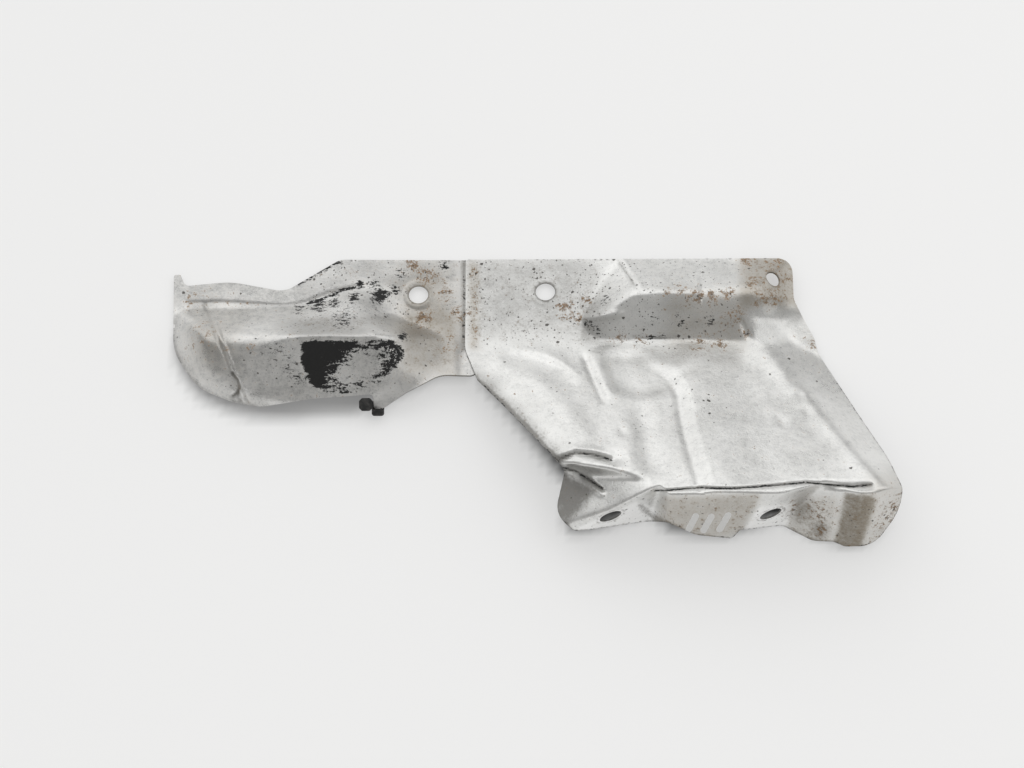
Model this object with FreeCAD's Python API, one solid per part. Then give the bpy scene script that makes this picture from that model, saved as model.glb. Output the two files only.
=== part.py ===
"""Engine heat shield: two pressed sheets lapped at a seam, and a clip on a tab. Millimetres."""
import FreeCAD
import Part
import math
import os

# Sheet and lap
SHEET = 0.8
LAP_GAP = 0.12

# Press frame: u to the right, v up the blank, w along the press direction. PRESS_TILT lays it on the table.
PRESS_TILT = 23.0
TABLE_SLOPE = math.tan(math.radians(PRESS_TILT))

# Body of the right sheet
BODY_START = -21.0
BODY_SLOPE = 1.11
FOLD_V = -88.8
TAB_SLOPE = 1.53
LOBE_SLOPE = 1.20
PAD_SLOPE_U = -0.88
PAD_SLOPE_V = 2.36
PAD_1_CORNER = (46.0, FOLD_V - 13.2)
PAD_2_CORNER = (104.0, FOLD_V - 15.7)

# Bulge along the back edge and corner tab
BACK_EDGE = 15.6
BULGE_BACK_SLOPE = 1.65
BULGE_FRONT_SLOPE = 0.40
BULGE_FOOT = -25.0
BULGE_TIP = 15.7
CORNER_SLOPE = 0.95
CORNER_EDGE = 114.0

# Ridge of the left sheet
LEFT_END = -170.4
CREST_W = 35.0
CREST_V = -20.0
WALL_SLOPE = 0.20
END_CENTRE = (LEFT_END + 36.4, -16.5)
END_RADIUS = 35.5
POCKET_DEPTH = 0.7

# Tab of the left sheet and the clip on it
TAB_U = -75.0
TAB_TIP = -53.0
SLOT_CLEAR = 0.25

# Bolt holes
STRIP_HOLE_R = 4.5
CORNER_HOLE_R = 3.7
PAD_HOLE_R = 5.0
LEFT_HOLE = (-57.6, -0.8)
MID_HOLE = (0.6, 0.6)
CORNER_HOLE = (CORNER_EDGE - 9.6, 6.2)
PAD_1_HOLE = (28.2, FOLD_V - 10.6)
PAD_2_HOLE = (98.0, FOLD_V - 9.6)
SEAT_WIDTH = 2.2
SEAT_HEIGHT = 0.6
FLAT_SEAT_HEIGHT = 0.25

# Reach of the cutting tools
PRISM_FROM = -80.0
PRISM_TO = 180.0
PUNCH_LENGTH = 12.0


def smooth_min(p, q, r):
    return 0.5 * (p + q - math.sqrt((p - q) ** 2 + r * r))


def smooth_max(p, q, r):
    return 0.5 * (p + q + math.sqrt((p - q) ** 2 + r * r))


def ramp(x, lo, hi):
    t = min(1.0, max(0.0, (x - lo) / (hi - lo)))
    return t * t * (3.0 - 2.0 * t)


def table(v):
    """Height of a sheet that lies flat on the table."""
    return -TABLE_SLOPE * v


def along(u, v, start, end):
    """Share of the way along a line, and the signed distance to its left."""
    du = end[0] - start[0]
    dv = end[1] - start[1]
    size = math.hypot(du, dv)
    share = ((u - start[0]) * du + (v - start[1]) * dv) / (size * size)
    side = (du * (v - start[1]) - dv * (u - start[0])) / size
    return share, side


def line_bump(u, v, start, end, half, height):
    """Long low hump on a line, fading at both ends."""
    share, side = along(u, v, start, end)
    if share < 0.0 or share > 1.0:
        return 0.0
    fade = 1.0 - (2.0 * share - 1.0) ** 4
    return height * fade * math.exp(-(side / half) ** 2)


def base(v):
    """Strip on the table, then the body that rises to the front."""
    body = table(BODY_START) - BODY_SLOPE * (v - BODY_START)
    return smooth_max(table(v), body, 5.0)


def bulge(u, v):
    back = table(BACK_EDGE) + BULGE_BACK_SLOPE * (BACK_EDGE + 0.6 - v)
    front = table(BULGE_FOOT) + BULGE_FRONT_SLOPE * (v - BULGE_FOOT)
    tip = BULGE_TIP + 0.65 * max(0.0, v + 11.0) + 0.12 * max(0.0, -14.0 - v) ** 2
    left = table(v) + 1.1 * (u - tip)
    right = table(v) + CORNER_SLOPE * (CORNER_EDGE - u) + 1.0
    crest = smooth_min(back, front, 3.0)
    crest = smooth_min(crest, left, 3.0)
    corner = smooth_min(right, table(v) + 16.5, 2.5)
    corner -= 7.0 * ramp(-v, 0.5, 13.0) * ramp(u, 82.0, 98.0)
    corner = corner if u > 70.0 else table(v) + 40.0
    return smooth_min(crest, corner, 2.5)


def relief(u, v):
    """Steps, beads and wrinkles pressed into the body."""
    share, side = along(u, v, (56.0, -38.0), (67.4, FOLD_V + 2.8))
    w = 2.4 * ramp(side + 1.5, 0.0, 6.5) * ramp(share, -0.25, 0.15) * (1.0 - 0.8 * ramp(side, 7.0, 36.0))
    w += line_bump(u, v, (16.0, -20.0), (30.0, -58.0), 4.0, 1.6)
    w += line_bump(u, v, (41.0, FOLD_V + 38.8), (46.0, FOLD_V + 6.8), 5.0, -1.4)
    w += line_bump(u, v, (0.0, FOLD_V + 13.8), (36.0, FOLD_V + 14.8), 2.6, -2.4)
    w += line_bump(u, v, (0.0, FOLD_V + 11.3), (36.0, FOLD_V + 1.8), 2.6, 2.2)
    share, side = along(u, v, (-30.2, -39.6), (5.2, FOLD_V + 13.6))
    roll = max(0.0, 13.0 - side) ** 2 * ramp(share, 0.08, 0.35) * (1.0 - ramp(share, 0.96, 1.12))
    return w - 0.02 * roll


def plane(u, v, corner, slope_u, slope_v):
    """Slanted plane that meets the table at a corner."""
    return table(corner[1]) + slope_u * (u - corner[0]) + slope_v * (v - corner[1])


def right_form(u, v):
    w = smooth_max(base(v), bulge(u, v), 2.0 + 5.0 * ramp(u, 84.0, 96.0))
    ridge_side = along(u, v, (92.0, -16.0), (146.0, FOLD_V + 3.3))[1]
    drop = 0.35 + 1.1 * ramp(-v, 20.0, -FOLD_V - 0.8)
    w -= drop * smooth_max(ridge_side - 0.5, 0.0, 3.0) * ramp(-v, 6.0, 22.0)
    w = smooth_max(w, table(v), 1.0)
    w += relief(u, v)
    fold_w = base(FOLD_V)
    ear = fold_w - 3.0 + 0.75 * (u - 42.2) - 0.52 * (v - FOLD_V)
    w = smooth_min(w, ear + 60.0 * ramp(v, FOLD_V + 4.8, FOLD_V + 26.8), 3.0)
    skirt = fold_w + TAB_SLOPE * (v - FOLD_V)
    lobe = fold_w + LOBE_SLOPE * (v - FOLD_V) - 0.03 * max(0.0, u - 134.0) ** 2
    skirt = skirt + (lobe - skirt) * ramp(u, 108.0, 122.0)
    w = smooth_min(w, skirt, 2.2)
    pad_1 = plane(u, v, PAD_1_CORNER, PAD_SLOPE_U, PAD_SLOPE_V)
    wall_1 = plane(u, v, PAD_1_CORNER, 3.0, 1.6)
    w = smooth_min(w, smooth_max(pad_1, wall_1, 2.0), 1.2)
    pad_2 = plane(u, v, PAD_2_CORNER, PAD_SLOPE_U, PAD_SLOPE_V)
    wall_2 = plane(u, v, PAD_2_CORNER, 0.75, 1.05)
    pocket_2 = smooth_max(pad_2, wall_2, 2.0) + 80.0 * ramp(70.0 - u, 0.0, 20.0)
    w = smooth_min(w, pocket_2, 1.2)
    return w


def end_distance(u, v):
    """Distance in from the rounded left end and lower edge of the left sheet."""
    du = END_CENTRE[0] - u
    dv = END_CENTRE[1] - v
    if du > 0.0 and dv > 0.0:
        return END_RADIUS - math.hypot(du, dv)
    return END_RADIUS - max(du, dv)


def left_form(u, v):
    turn = ramp(u, LEFT_END + 55.4, LEFT_END + 88.4)
    crease = -6.5 + 8.5 * turn
    rise_slope = 2.39 - 0.76 * turn
    rise = table(crease) + rise_slope * (crease - v)
    wall = CREST_W + WALL_SLOPE * (v - CREST_V)
    ridge = smooth_min(rise, wall, 4.0 + 8.0 * ramp(LEFT_END + 62.0 - u, 0.0, 20.0))
    lift = 6.0 * ramp(u, LEFT_END + 30.4, LEFT_END + 60.4) + 15.5 * math.exp(-((u - TAB_U) / 7.0) ** 2)
    end = ramp(LEFT_END + 55.0 - u, 0.0, 22.0)
    skirt = table(v) + lift + (2.6 - 1.3 * end) * end_distance(u, v)
    form = smooth_max(table(v), smooth_min(ridge, skirt, 5.0), 2.0)
    across = ramp(u, LEFT_END + 60.5, LEFT_END + 63.5) - ramp(u, -66.5, -61.5)
    up = ramp(v, -46.0 + 0.12 * abs(u - LEFT_END - 78.4), -42.0) - ramp(v, -24.5, -22.0)
    form -= POCKET_DEPTH * across * up
    form += line_bump(u, v, (LEFT_END + 50.4, -17.0), (LEFT_END + 92.4, -16.0), 2.4, -1.2)
    flat = 13.0 * ramp(v, -22.0, -9.0)
    blend = ramp(u, -76.0 - flat, -44.0 - 1.6 * flat)
    form += blend * (base(v) - form)
    share, side = along(u, v, (-40.0, -37.5), (-74.0, -52.0))
    form -= 3.0 * ramp(10.0 - abs(side), 0.0, 10.0) * ramp(share, -0.3, 0.4)
    joggle = (SHEET + LAP_GAP) / math.cos(math.radians(PRESS_TILT))
    joggle_body = (SHEET + LAP_GAP) * math.hypot(1.0, BODY_SLOPE)
    joggle += (joggle_body - joggle) * ramp(-v, 12.0, 26.0)
    return form - joggle * ramp(u, -41.5, -36.5)


def normal_at(form, u, v):
    step = 0.05
    du = (form(u + step, v) - form(u - step, v)) / (2.0 * step)
    dv = (form(u, v + step) - form(u, v - step)) / (2.0 * step)
    normal = FreeCAD.Vector(-du, -dv, 1.0)
    return normal.normalize()


def spline_face(poles):
    rows = len(poles)
    columns = len(poles[0])
    surface = Part.BSplineSurface()
    row_knots = list(range(rows - 2))
    column_knots = list(range(columns - 2))
    row_mults = [4] + [1] * (rows - 4) + [4]
    column_mults = [4] + [1] * (columns - 4) + [4]
    surface.buildFromPolesMultsKnots(poles, row_mults, column_mults, row_knots, column_knots,
                                     False, False, 3, 3)
    return surface


def sheet_solid(form, us, vs):
    """Pressed sheet over a grid: outer face, inner face one sheet below, and four sides."""
    outer = []
    inner = []
    for v in vs:
        outer_row = []
        inner_row = []
        for u in us:
            point = FreeCAD.Vector(u, v, form(u, v))
            outer_row.append(point)
            inner_row.append(point - normal_at(form, u, v) * SHEET)
        outer.append(outer_row)
        inner.append(inner_row)
    top = spline_face(outer)
    under = spline_face(inner)
    faces = [top.toShape(), under.toShape()]
    u0, u1, v0, v1 = top.bounds()
    for iso, value in (("u", u0), ("u", u1), ("v", v0), ("v", v1)):
        if iso == "u":
            pair = (top.uIso(value), under.uIso(value))
        else:
            pair = (top.vIso(value), under.vIso(value))
        faces.append(Part.makeRuledSurface(pair[0].toShape(), pair[1].toShape()))
    shell = Part.makeShell(faces)
    shell.sewShape()
    solid = Part.makeSolid(shell)
    if solid.Volume < 0.0:
        solid.reverse()
    return solid


def spread(stops):
    """Grid lines from (from, to, step) stretches."""
    values = []
    for start, end, step in stops:
        count = max(1, int(round(abs(end - start) / step)))
        for i in range(count):
            values.append(start + (end - start) * i / count)
    values.append(stops[-1][1])
    return values


def outline_prism(corners):
    """Upright prism on an outline of (u, v, corner radius)."""
    edges = []
    count = len(corners)
    starts = []
    ends = []
    middles = []
    for i in range(count):
        here = FreeCAD.Vector(corners[i][0], corners[i][1], 0.0)
        before = FreeCAD.Vector(corners[i - 1][0], corners[i - 1][1], 0.0) - here
        after = FreeCAD.Vector(corners[(i + 1) % count][0], corners[(i + 1) % count][1], 0.0) - here
        radius = corners[i][2]
        angle = before.getAngle(after)
        cut = 0.0
        if radius > 0.0 and angle < math.pi - 0.01:
            cut = min(radius / math.tan(angle / 2.0), 0.48 * before.Length, 0.48 * after.Length)
        if cut < 0.05:
            starts.append(here)
            ends.append(here)
            middles.append(None)
            continue
        real = cut * math.tan(angle / 2.0)
        before.normalize()
        after.normalize()
        bisector = before + after
        bisector.normalize()
        reach = real / math.sin(angle / 2.0) - real
        starts.append(here + before * cut)
        ends.append(here + after * cut)
        middles.append(here + bisector * reach)
    for i in range(count):
        if middles[i] is not None:
            edges.append(Part.Arc(starts[i], middles[i], ends[i]).toShape())
        edges.append(Part.makeLine(ends[i], starts[(i + 1) % count]))
    wire = Part.Wire(edges)
    face = Part.Face(wire)
    face.translate(FreeCAD.Vector(0.0, 0.0, PRISM_FROM))
    return face.extrude(FreeCAD.Vector(0.0, 0.0, PRISM_TO - PRISM_FROM))


def top_point(sheet, u, v):
    """Highest point of a sheet over a place on the blank."""
    line = Part.makeLine(FreeCAD.Vector(u, v, PRISM_FROM), FreeCAD.Vector(u, v, PRISM_TO))
    return max((vertex.Point for vertex in sheet.common(line).Vertexes), key=lambda point: point.z)


def punched(sheet, form, hole, radius, seat_height):
    """Sheet with a flat seat at a hole, punched square to the seat."""
    seat_radius = radius + SEAT_WIDTH
    reach = seat_radius * normal_at(form, hole[0], hole[1]).z
    sides = [top_point(sheet, hole[0] + reach * i, hole[1]) for i in (-1.0, 1.0)]
    ends = [top_point(sheet, hole[0], hole[1] + reach * i) for i in (-1.0, 1.0)]
    normal = (sides[1] - sides[0]).cross(ends[1] - ends[0]).normalize()
    centre = (sides[0] + sides[1] + ends[0] + ends[1]) * 0.25
    middle = centre - normal * (SHEET / 2.0)
    height = SHEET / 2.0 + seat_height
    seat = Part.makeCone(seat_radius + height, seat_radius, height, middle, normal)
    punch = Part.makeCylinder(radius, PUNCH_LENGTH, centre - normal * (PUNCH_LENGTH / 2.0), normal)
    return sheet.fuse(seat).cut(punch)


RIGHT_OUTLINE = [
    (-36.0, BACK_EDGE, 0.8),
    (CORNER_EDGE + 0.2, BACK_EDGE + 0.6, 7.0),
    (CORNER_EDGE, -3.0, 8.0),
    (123.0, -21.0, 6.0),
    (124.6, -28.0, 8.0),
    (150.5, FOLD_V + 14.3, 40.0),
    (156.4, FOLD_V - 5.2, 22.0),
    (144.5, FOLD_V - 23.8, 12.0),
    (132.0, FOLD_V - 24.6, 4.0),
    (126.5, FOLD_V - 22.2, 4.0),
    (118.0, FOLD_V - 22.2, 8.0),
    (105.0, FOLD_V - 15.6, 6.0),
    (85.0, FOLD_V - 17.0, 0.6),
    (82.4, FOLD_V - 21.0, 2.0),
    (66.0, FOLD_V - 19.2, 14.0),
    (53.0, FOLD_V - 13.2, 6.0),
    (12.5, FOLD_V - 17.4, 4.0),
    (4.2, FOLD_V - 9.7, 10.0),
    (8.6, FOLD_V + 8.8, 5.0),
    (5.2, FOLD_V + 13.6, 0.8),
    (-26.0, -43.6, 26.0),
    (-30.2, -39.6, 1.0),
    (-36.0, -26.0, 12.0),
]

LEFT_OUTLINE = [
    (-20.0, BACK_EDGE - 0.4, 0.8),
    (LEFT_END + 76.4, BACK_EDGE, 8.0),
    (LEFT_END + 51.4, BACK_EDGE - 15.0, 12.0),
    (LEFT_END + 26.4, BACK_EDGE - 10.4, 40.0),
    (LEFT_END + 5.4, BACK_EDGE - 12.4, 3.0),
    (LEFT_END + 3.0, BACK_EDGE - 7.0, 0.8),
    (LEFT_END, BACK_EDGE - 7.2, 0.8),
    (LEFT_END + 1.6, -27.0, 22.0),
    (LEFT_END + 13.4, -43.8, 24.0),
    (LEFT_END + 30.4, -50.2, 24.0),
    (LEFT_END + 42.4, -52.2, 20.0),
    (LEFT_END + 66.4, -48.4, 20.0),
    (TAB_U - 2.0, -46.4, 1.5),
    (TAB_U - 1.8, TAB_TIP, 0.6),
    (TAB_U + 1.8, TAB_TIP, 0.6),
    (-62.0, -45.6, 10.0),
    (-47.0, -37.6, 14.0),
    (-32.0, -38.0, 4.0),
    (-20.0, -24.0, 2.0),
]

right_rows = spread([(BACK_EDGE + 4.4, FOLD_V + 8.8, 7.0), (FOLD_V + 8.8, FOLD_V - 29.2, 3.5)])
right = sheet_solid(right_form, spread([(-40.0, 162.0, 7.0)]), right_rows)
right = right.common(outline_prism(RIGHT_OUTLINE))
right = punched(right, right_form, MID_HOLE, STRIP_HOLE_R, FLAT_SEAT_HEIGHT)
right = punched(right, right_form, CORNER_HOLE, CORNER_HOLE_R, FLAT_SEAT_HEIGHT)
right = punched(right, right_form, PAD_1_HOLE, PAD_HOLE_R, FLAT_SEAT_HEIGHT)
right = punched(right, right_form, PAD_2_HOLE, PAD_HOLE_R, FLAT_SEAT_HEIGHT)

left_rows = spread([(BACK_EDGE + 3.4, TAB_TIP - 4.0, 5.0)])
left = sheet_solid(left_form, spread([(LEFT_END - 3.6, -16.0, 6.0)]), left_rows)
left = left.common(outline_prism(LEFT_OUTLINE))
left = punched(left, left_form, LEFT_HOLE, STRIP_HOLE_R, SEAT_HEIGHT)

tip_w = left_form(TAB_U, TAB_TIP)
stub = Part.makeBox(5.4, 6.6, 4.6, FreeCAD.Vector(TAB_U - 2.7, TAB_TIP - 3.2, tip_w - 2.4))
stub = stub.makeFillet(1.2, [e for e in stub.Edges if abs(e.CenterOfMass.y - (TAB_TIP - 3.2)) < 0.01])
head = Part.makeBox(5.8, 5.8, 6.6, FreeCAD.Vector(TAB_U - 8.3, TAB_TIP - 0.9, tip_w - 2.4))
head = head.makeChamfer(1.3, [e for e in head.Edges if abs(e.CenterOfMass.z - (tip_w + 0.9)) < 0.01])
clip = head.fuse(stub).removeSplitter()
near = [(TAB_U + i * 0.9, TAB_TIP + j * 0.5) for i in (-2, 0, 2) for j in range(7)]
tab_points = [(v, left_form(u, v)) for u, v in near]
slot_top = max(v for v, w in tab_points if w < tip_w + 1.6) + SHEET + SLOT_CLEAR
slot = Part.makeBox(7.6, slot_top - TAB_TIP + SLOT_CLEAR, 8.0,
                    FreeCAD.Vector(TAB_U - 1.8 - SLOT_CLEAR, TAB_TIP - SLOT_CLEAR, tip_w - 1.6))
clip = clip.cut(slot)

parts = {"right_shield": right, "left_shield": left, "edge_clip": clip}
for name, shape in parts.items():
    parts[name] = shape.Solids[0]
    parts[name].rotate(FreeCAD.Vector(0, 0, 0), FreeCAD.Vector(1, 0, 0), PRESS_TILT)

# Origin under the middle of the whole part, on the table
points = [p for shape in parts.values() for p in shape.tessellate(0.2)[0]]
middle_x = 0.5 * (min(p.x for p in points) + max(p.x for p in points))
middle_y = 0.5 * (min(p.y for p in points) + max(p.y for p in points))
lowest = min(p.z for p in points)
os.makedirs("parts", exist_ok=True)
for name, shape in parts.items():
    shape.translate(FreeCAD.Vector(-middle_x, -middle_y, -lowest))
    shape.exportStep("parts/" + name + ".step")
    print(name, shape.isValid(), round(shape.Volume, 1))
print("moved", round(-middle_x, 3), round(-middle_y, 3), round(-lowest, 3))
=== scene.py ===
"""Engine heat shield: worn pressed sheets with a clip, lying on a white table.

The scene is in metres. Sizes and places on the pressed sheets are in mm.
"""
import math

import bmesh
import bpy
import numpy as np
from mathutils import Matrix, Vector
from mathutils.geometry import delaunay_2d_cdt


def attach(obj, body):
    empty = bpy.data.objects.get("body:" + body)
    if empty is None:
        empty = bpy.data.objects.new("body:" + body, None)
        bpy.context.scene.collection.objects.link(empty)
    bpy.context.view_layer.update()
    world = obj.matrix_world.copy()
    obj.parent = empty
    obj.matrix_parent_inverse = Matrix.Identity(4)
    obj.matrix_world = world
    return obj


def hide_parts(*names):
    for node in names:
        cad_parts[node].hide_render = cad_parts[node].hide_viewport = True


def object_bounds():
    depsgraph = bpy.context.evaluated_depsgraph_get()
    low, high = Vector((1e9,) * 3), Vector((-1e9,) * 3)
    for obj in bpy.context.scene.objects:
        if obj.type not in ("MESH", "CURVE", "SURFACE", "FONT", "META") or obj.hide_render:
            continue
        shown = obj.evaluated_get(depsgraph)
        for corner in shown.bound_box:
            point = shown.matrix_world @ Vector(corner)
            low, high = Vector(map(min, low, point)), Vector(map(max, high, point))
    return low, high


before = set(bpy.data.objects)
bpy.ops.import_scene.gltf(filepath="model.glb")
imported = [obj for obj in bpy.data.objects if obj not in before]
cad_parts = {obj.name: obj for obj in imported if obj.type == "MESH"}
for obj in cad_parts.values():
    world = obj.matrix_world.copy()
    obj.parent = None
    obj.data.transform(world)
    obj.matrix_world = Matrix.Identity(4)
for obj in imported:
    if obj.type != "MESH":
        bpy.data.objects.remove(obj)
cad_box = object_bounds()

# Press frame of the part: u right, v up the blank, w along the press direction, then laid on the table
MM = 0.001
PRESS_TILT = math.radians(23.0)
PRESS_ORIGIN = Vector((0.007944, 0.054077, 0.001491))
TABLE_SLOPE = math.tan(PRESS_TILT)
SHEET = 0.8
LAP_GAP = 0.12
FAR = 1e6

# Strip and body of the right sheet
BODY_START = -21.0
BODY_SLOPE = 1.11
BODY_BLEND = 5.0
BACK_EDGE = 15.6

# Bulge over the strip, and the low corner at its right
BULGE_BACK_SLOPE = 1.65
BULGE_BACK_LAP = 0.6
BULGE_FRONT_SLOPE = 0.40
BULGE_FOOT = -25.0
BULGE_LEFT_SLOPE = 1.1
BULGE_TIP = 15.7
TIP_SLANT = 0.65
TIP_SLANT_FROM = -11.0
TIP_CURVE = 0.12
TIP_CURVE_FROM = -14.0
TIP_BLEND = 4.0
CREST_BLEND = 4.5
CORNER_SLOPE = 0.95
CORNER_EDGE = 114.0
CORNER_LIFT = 1.0
CORNER_TOP = 16.5
CORNER_BLEND = 2.5
CORNER_FROM = 70.0
CORNER_CLEAR = 40.0
CORNER_DIP = 7.0
CORNER_DIP_FRONT = (0.5, 13.0)
CORNER_DIP_RIGHT = (82.0, 98.0)
BULGE_BLEND = 2.0
CORNER_SOFTER = 5.0
CORNER_SOFTER_RIGHT = (84.0, 96.0)

# Ridge of the body, with the flange that drops to its right
RIDGE_LINE = ((92.0, -16.0), (146.0, -85.5))
RIDGE_HEIGHT = 1.2
RIDGE_HALF = 5.0
RIDGE_RISES = (14.0, 30.0)
FLANGE_DROP = 0.35
FLANGE_MORE_DROP = 1.1
FLANGE_MORE_FRONT = (20.0, 88.0)
FLANGE_STARTS = (6.0, 22.0)
FLANGE_GAP = 0.5
FLANGE_BLEND = 3.0
FLANGE_FLOOR_BLEND = 1.0

# Skirt of the right sheet, with its ear, pads, tab and lobe
FOLD_V = -88.8
FOLD_DIP = 1.3
FOLD_DIP_SHIFT = 1.0
FOLD_DIP_HALF = 8.0
FOLD_DIP_RIGHT = (40.0, 50.0)
TAB_SLOPE = 1.53
LOBE_SLOPE = 1.20
LOBE_CURVE = 0.03
LOBE_CURVE_FROM = 134.0
LOBE_STARTS = (108.0, 122.0)
SKIRT_BLEND = 2.2
EAR_CORNER = (42.2, -88.9)
EAR_W = 80.3
EAR_SLOPE_U = 0.75
EAR_SLOPE_V = -0.52
EAR_ENDS = (-84.0, -62.0)
EAR_CLEAR = 60.0
EAR_BLEND = 3.0
PAD_SLOPES = (-0.88, 2.36)
PAD_1_CORNER = (46.0, -102.0)
PAD_1_WALL = (3.0, 1.6)
PAD_2_CORNER = (104.0, -104.5)
PAD_2_WALL = (0.75, 1.05)
PAD_2_FROM = 70.0
PAD_2_RUN_OUT = 20.0
PAD_2_CLEAR = 80.0
PAD_WALL_BLEND = 2.0
PAD_BLEND = 1.2

# Ridge, rounded end and web of the left sheet
CREST_W = 35.0
CREST_V = -20.0
WALL_SLOPE = 0.20
CREASE_V = -6.5
CREASE_SHIFT = 8.5
CREASE_TURN = (-115.0, -82.0)
RISE_SLOPE = 2.39
RISE_EASE = 0.76
RIDGE_BLEND = 3.0
END_BLEND = 10.0
END_STARTS = (108.0, 130.0)
END_CENTRE = (-134.0, -16.5)
END_RADIUS = 35.5
END_SLOPE = 2.6
END_EASE = 1.3
END_EASE_LEFT = (115.4, 137.4)
EDGE_LIFT = 6.0
EDGE_LIFT_RIGHT = (-140.0, -110.0)
TAB_LIFT = 15.5
TAB_LIFT_HALF = 7.0
EDGE_BLEND = 5.0
STRIP_BLEND = 2.0
POCKET_DEPTH = 0.6
POCKET_SOFT = 2.4
RIDGE_GROOVE = ((-120.0, -17.0), (-78.0, -16.0), 2.4, -1.2)
WEB_SHIFT = 13.0
WEB_SHIFT_BACK = (-22.0, -9.0)
WEB_FROM = -76.0
WEB_TO = -44.0
WEB_TO_SHIFT = 1.6
WEB_LINE = ((-40.0, -37.5), (-74.0, -52.0))
WEB_DROP = 3.0
WEB_DROP_HALF = 10.0
WEB_DROP_ALONG = (-0.3, 0.4)
JOGGLE_U = (-41.5, -36.5)
JOGGLE_STEEPER = (12.0, 26.0)
TAB_U = -75.0
TAB_TIP = -53.0

# Bolt holes: place, radius, seat height, slope of the sheet along u and v
STRIP_SLOPE = -0.42
LEFT_HOLES = [((-57.6, -0.8), 4.5, 0.6, (0.0, STRIP_SLOPE))]
STRIP_HOLES = [
    ((0.6, 0.6), 4.5, 0.15, (0.0, STRIP_SLOPE)),
    ((104.4, 6.2), 3.7, 0.15, (-CORNER_SLOPE, STRIP_SLOPE)),
]
PAD_HOLES = [((28.2, -99.4), 5.0, 0.12, PAD_SLOPES), ((98.0, -98.4), 5.0, 0.12, PAD_SLOPES)]
RIGHT_HOLES = STRIP_HOLES + PAD_HOLES
SEAT_R = 7.5
SEAT_EDGE = 1.2
RING_GAP = 1.5
RING_HALF = 0.5
RING_STRENGTH = 0.6
RING_DEPTH = 0.5
HOLE_EDGE_HALF = 0.45

# Outlines of the blanks: u, v, corner radius
RIGHT_OUTLINE = [
    (-36.0, 15.6, 0.8),
    (114.2, 16.2, 7.0),
    (114.0, -3.0, 8.0),
    (123.0, -21.0, 6.0),
    (124.6, -28.0, 8.0),
    (150.5, -74.5, 40.0),
    (156.4, -94.0, 22.0),
    (144.5, -112.6, 12.0),
    (132.0, -113.4, 4.0),
    (126.5, -111.0, 4.0),
    (118.0, -111.0, 8.0),
    (105.0, -104.4, 6.0),
    (85.0, -105.8, 0.6),
    (82.4, -109.8, 2.0),
    (66.0, -108.0, 14.0),
    (53.0, -102.0, 6.0),
    (12.5, -106.2, 4.0),
    (4.2, -98.5, 10.0),
    (8.6, -80.0, 5.0),
    (5.2, -75.2, 0.8),
    (-26.0, -43.6, 26.0),
    (-30.2, -39.6, 1.0),
    (-36.0, -26.0, 12.0),
]
LEFT_OUTLINE = [
    (-20.0, 15.2, 0.8),
    (-94.0, 15.6, 8.0),
    (-119.0, 0.6, 12.0),
    (-144.0, 5.2, 40.0),
    (-165.0, 3.2, 3.0),
    (-167.4, 8.6, 0.8),
    (-170.4, 8.4, 0.8),
    (-168.8, -27.0, 22.0),
    (-157.0, -43.8, 24.0),
    (-140.0, -50.2, 24.0),
    (-128.0, -52.2, 20.0),
    (-104.0, -48.4, 20.0),
    (TAB_U - 2.0, -46.4, 1.5),
    (TAB_U - 1.8, TAB_TIP, 0.6),
    (TAB_U + 1.8, TAB_TIP, 0.6),
    (-62.0, -45.6, 10.0),
    (-47.0, -37.6, 14.0),
    (-32.0, -38.0, 4.0),
    (-20.0, -24.0, 2.0),
]

# Lines on the right blank
STEP_LINE = [(49.9, -31.9), (57.1, -39.1), (60.6, -47.1), (61.2, -57.6), (63.7, -70.5), (67.4, -86.0)]
BEAD_LINE = [(17.9, -26.4), (22.9, -40.0), (27.8, -51.5)]
CURVE_LINE = [(-15.6, -25.5), (-6.5, -27.3), (1.6, -30.0), (9.2, -33.7), (15.8, -38.6), (20.1, -44.5)]
SHOULDER_LINE = [(-20.1, -32.8), (-6.6, -37.6), (6.0, -48.0), (17.0, -62.0)]
SHOULDER_CREASE = [(-12.9, -26.4), (0.0, -28.4), (7.9, -31.9), (14.9, -40.4)]
UPPER_PLEAT = [(5.4, -75.0), (12.8, -71.8), (20.2, -72.5), (28.4, -74.8)]
LOWER_PLEAT = [(6.6, -78.2), (12.9, -79.8), (19.4, -83.7), (24.6, -87.4)]
ARCH_LINE = ((-30.2, -39.6), (5.2, -75.2))
ARCH_EDGE = [(-33.5, -38.6), (-24.5, -44.9), (-15.6, -53.3), (-6.7, -62.0), (-0.2, -69.3), (4.9, -74.0)]
FLANK_CREASE = [(34.8, 14.0), (38.5, 8.0), (41.0, 3.0)]
BULGE_SCORE = [(40.0, -20.4), (52.0, -20.8), (60.0, -20.4)]
FOLD_LINE = [
    (47.0, -87.9),
    (66.0, -86.4),
    (79.0, -86.7),
    (95.0, -85.6),
    (112.0, -84.3),
    (131.8, -86.0),
    (140.0, -85.2),
]
TAB_CORNER = [(41.5, -94.9), (47.0, -100.0), (52.1, -102.5)]
SEAM_RUST = [(-32.0, 10.0), (-31.5, -24.0)]
SEAM_STAIN = [(-32.5, 12.0), (-32.0, -24.0)]

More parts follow.
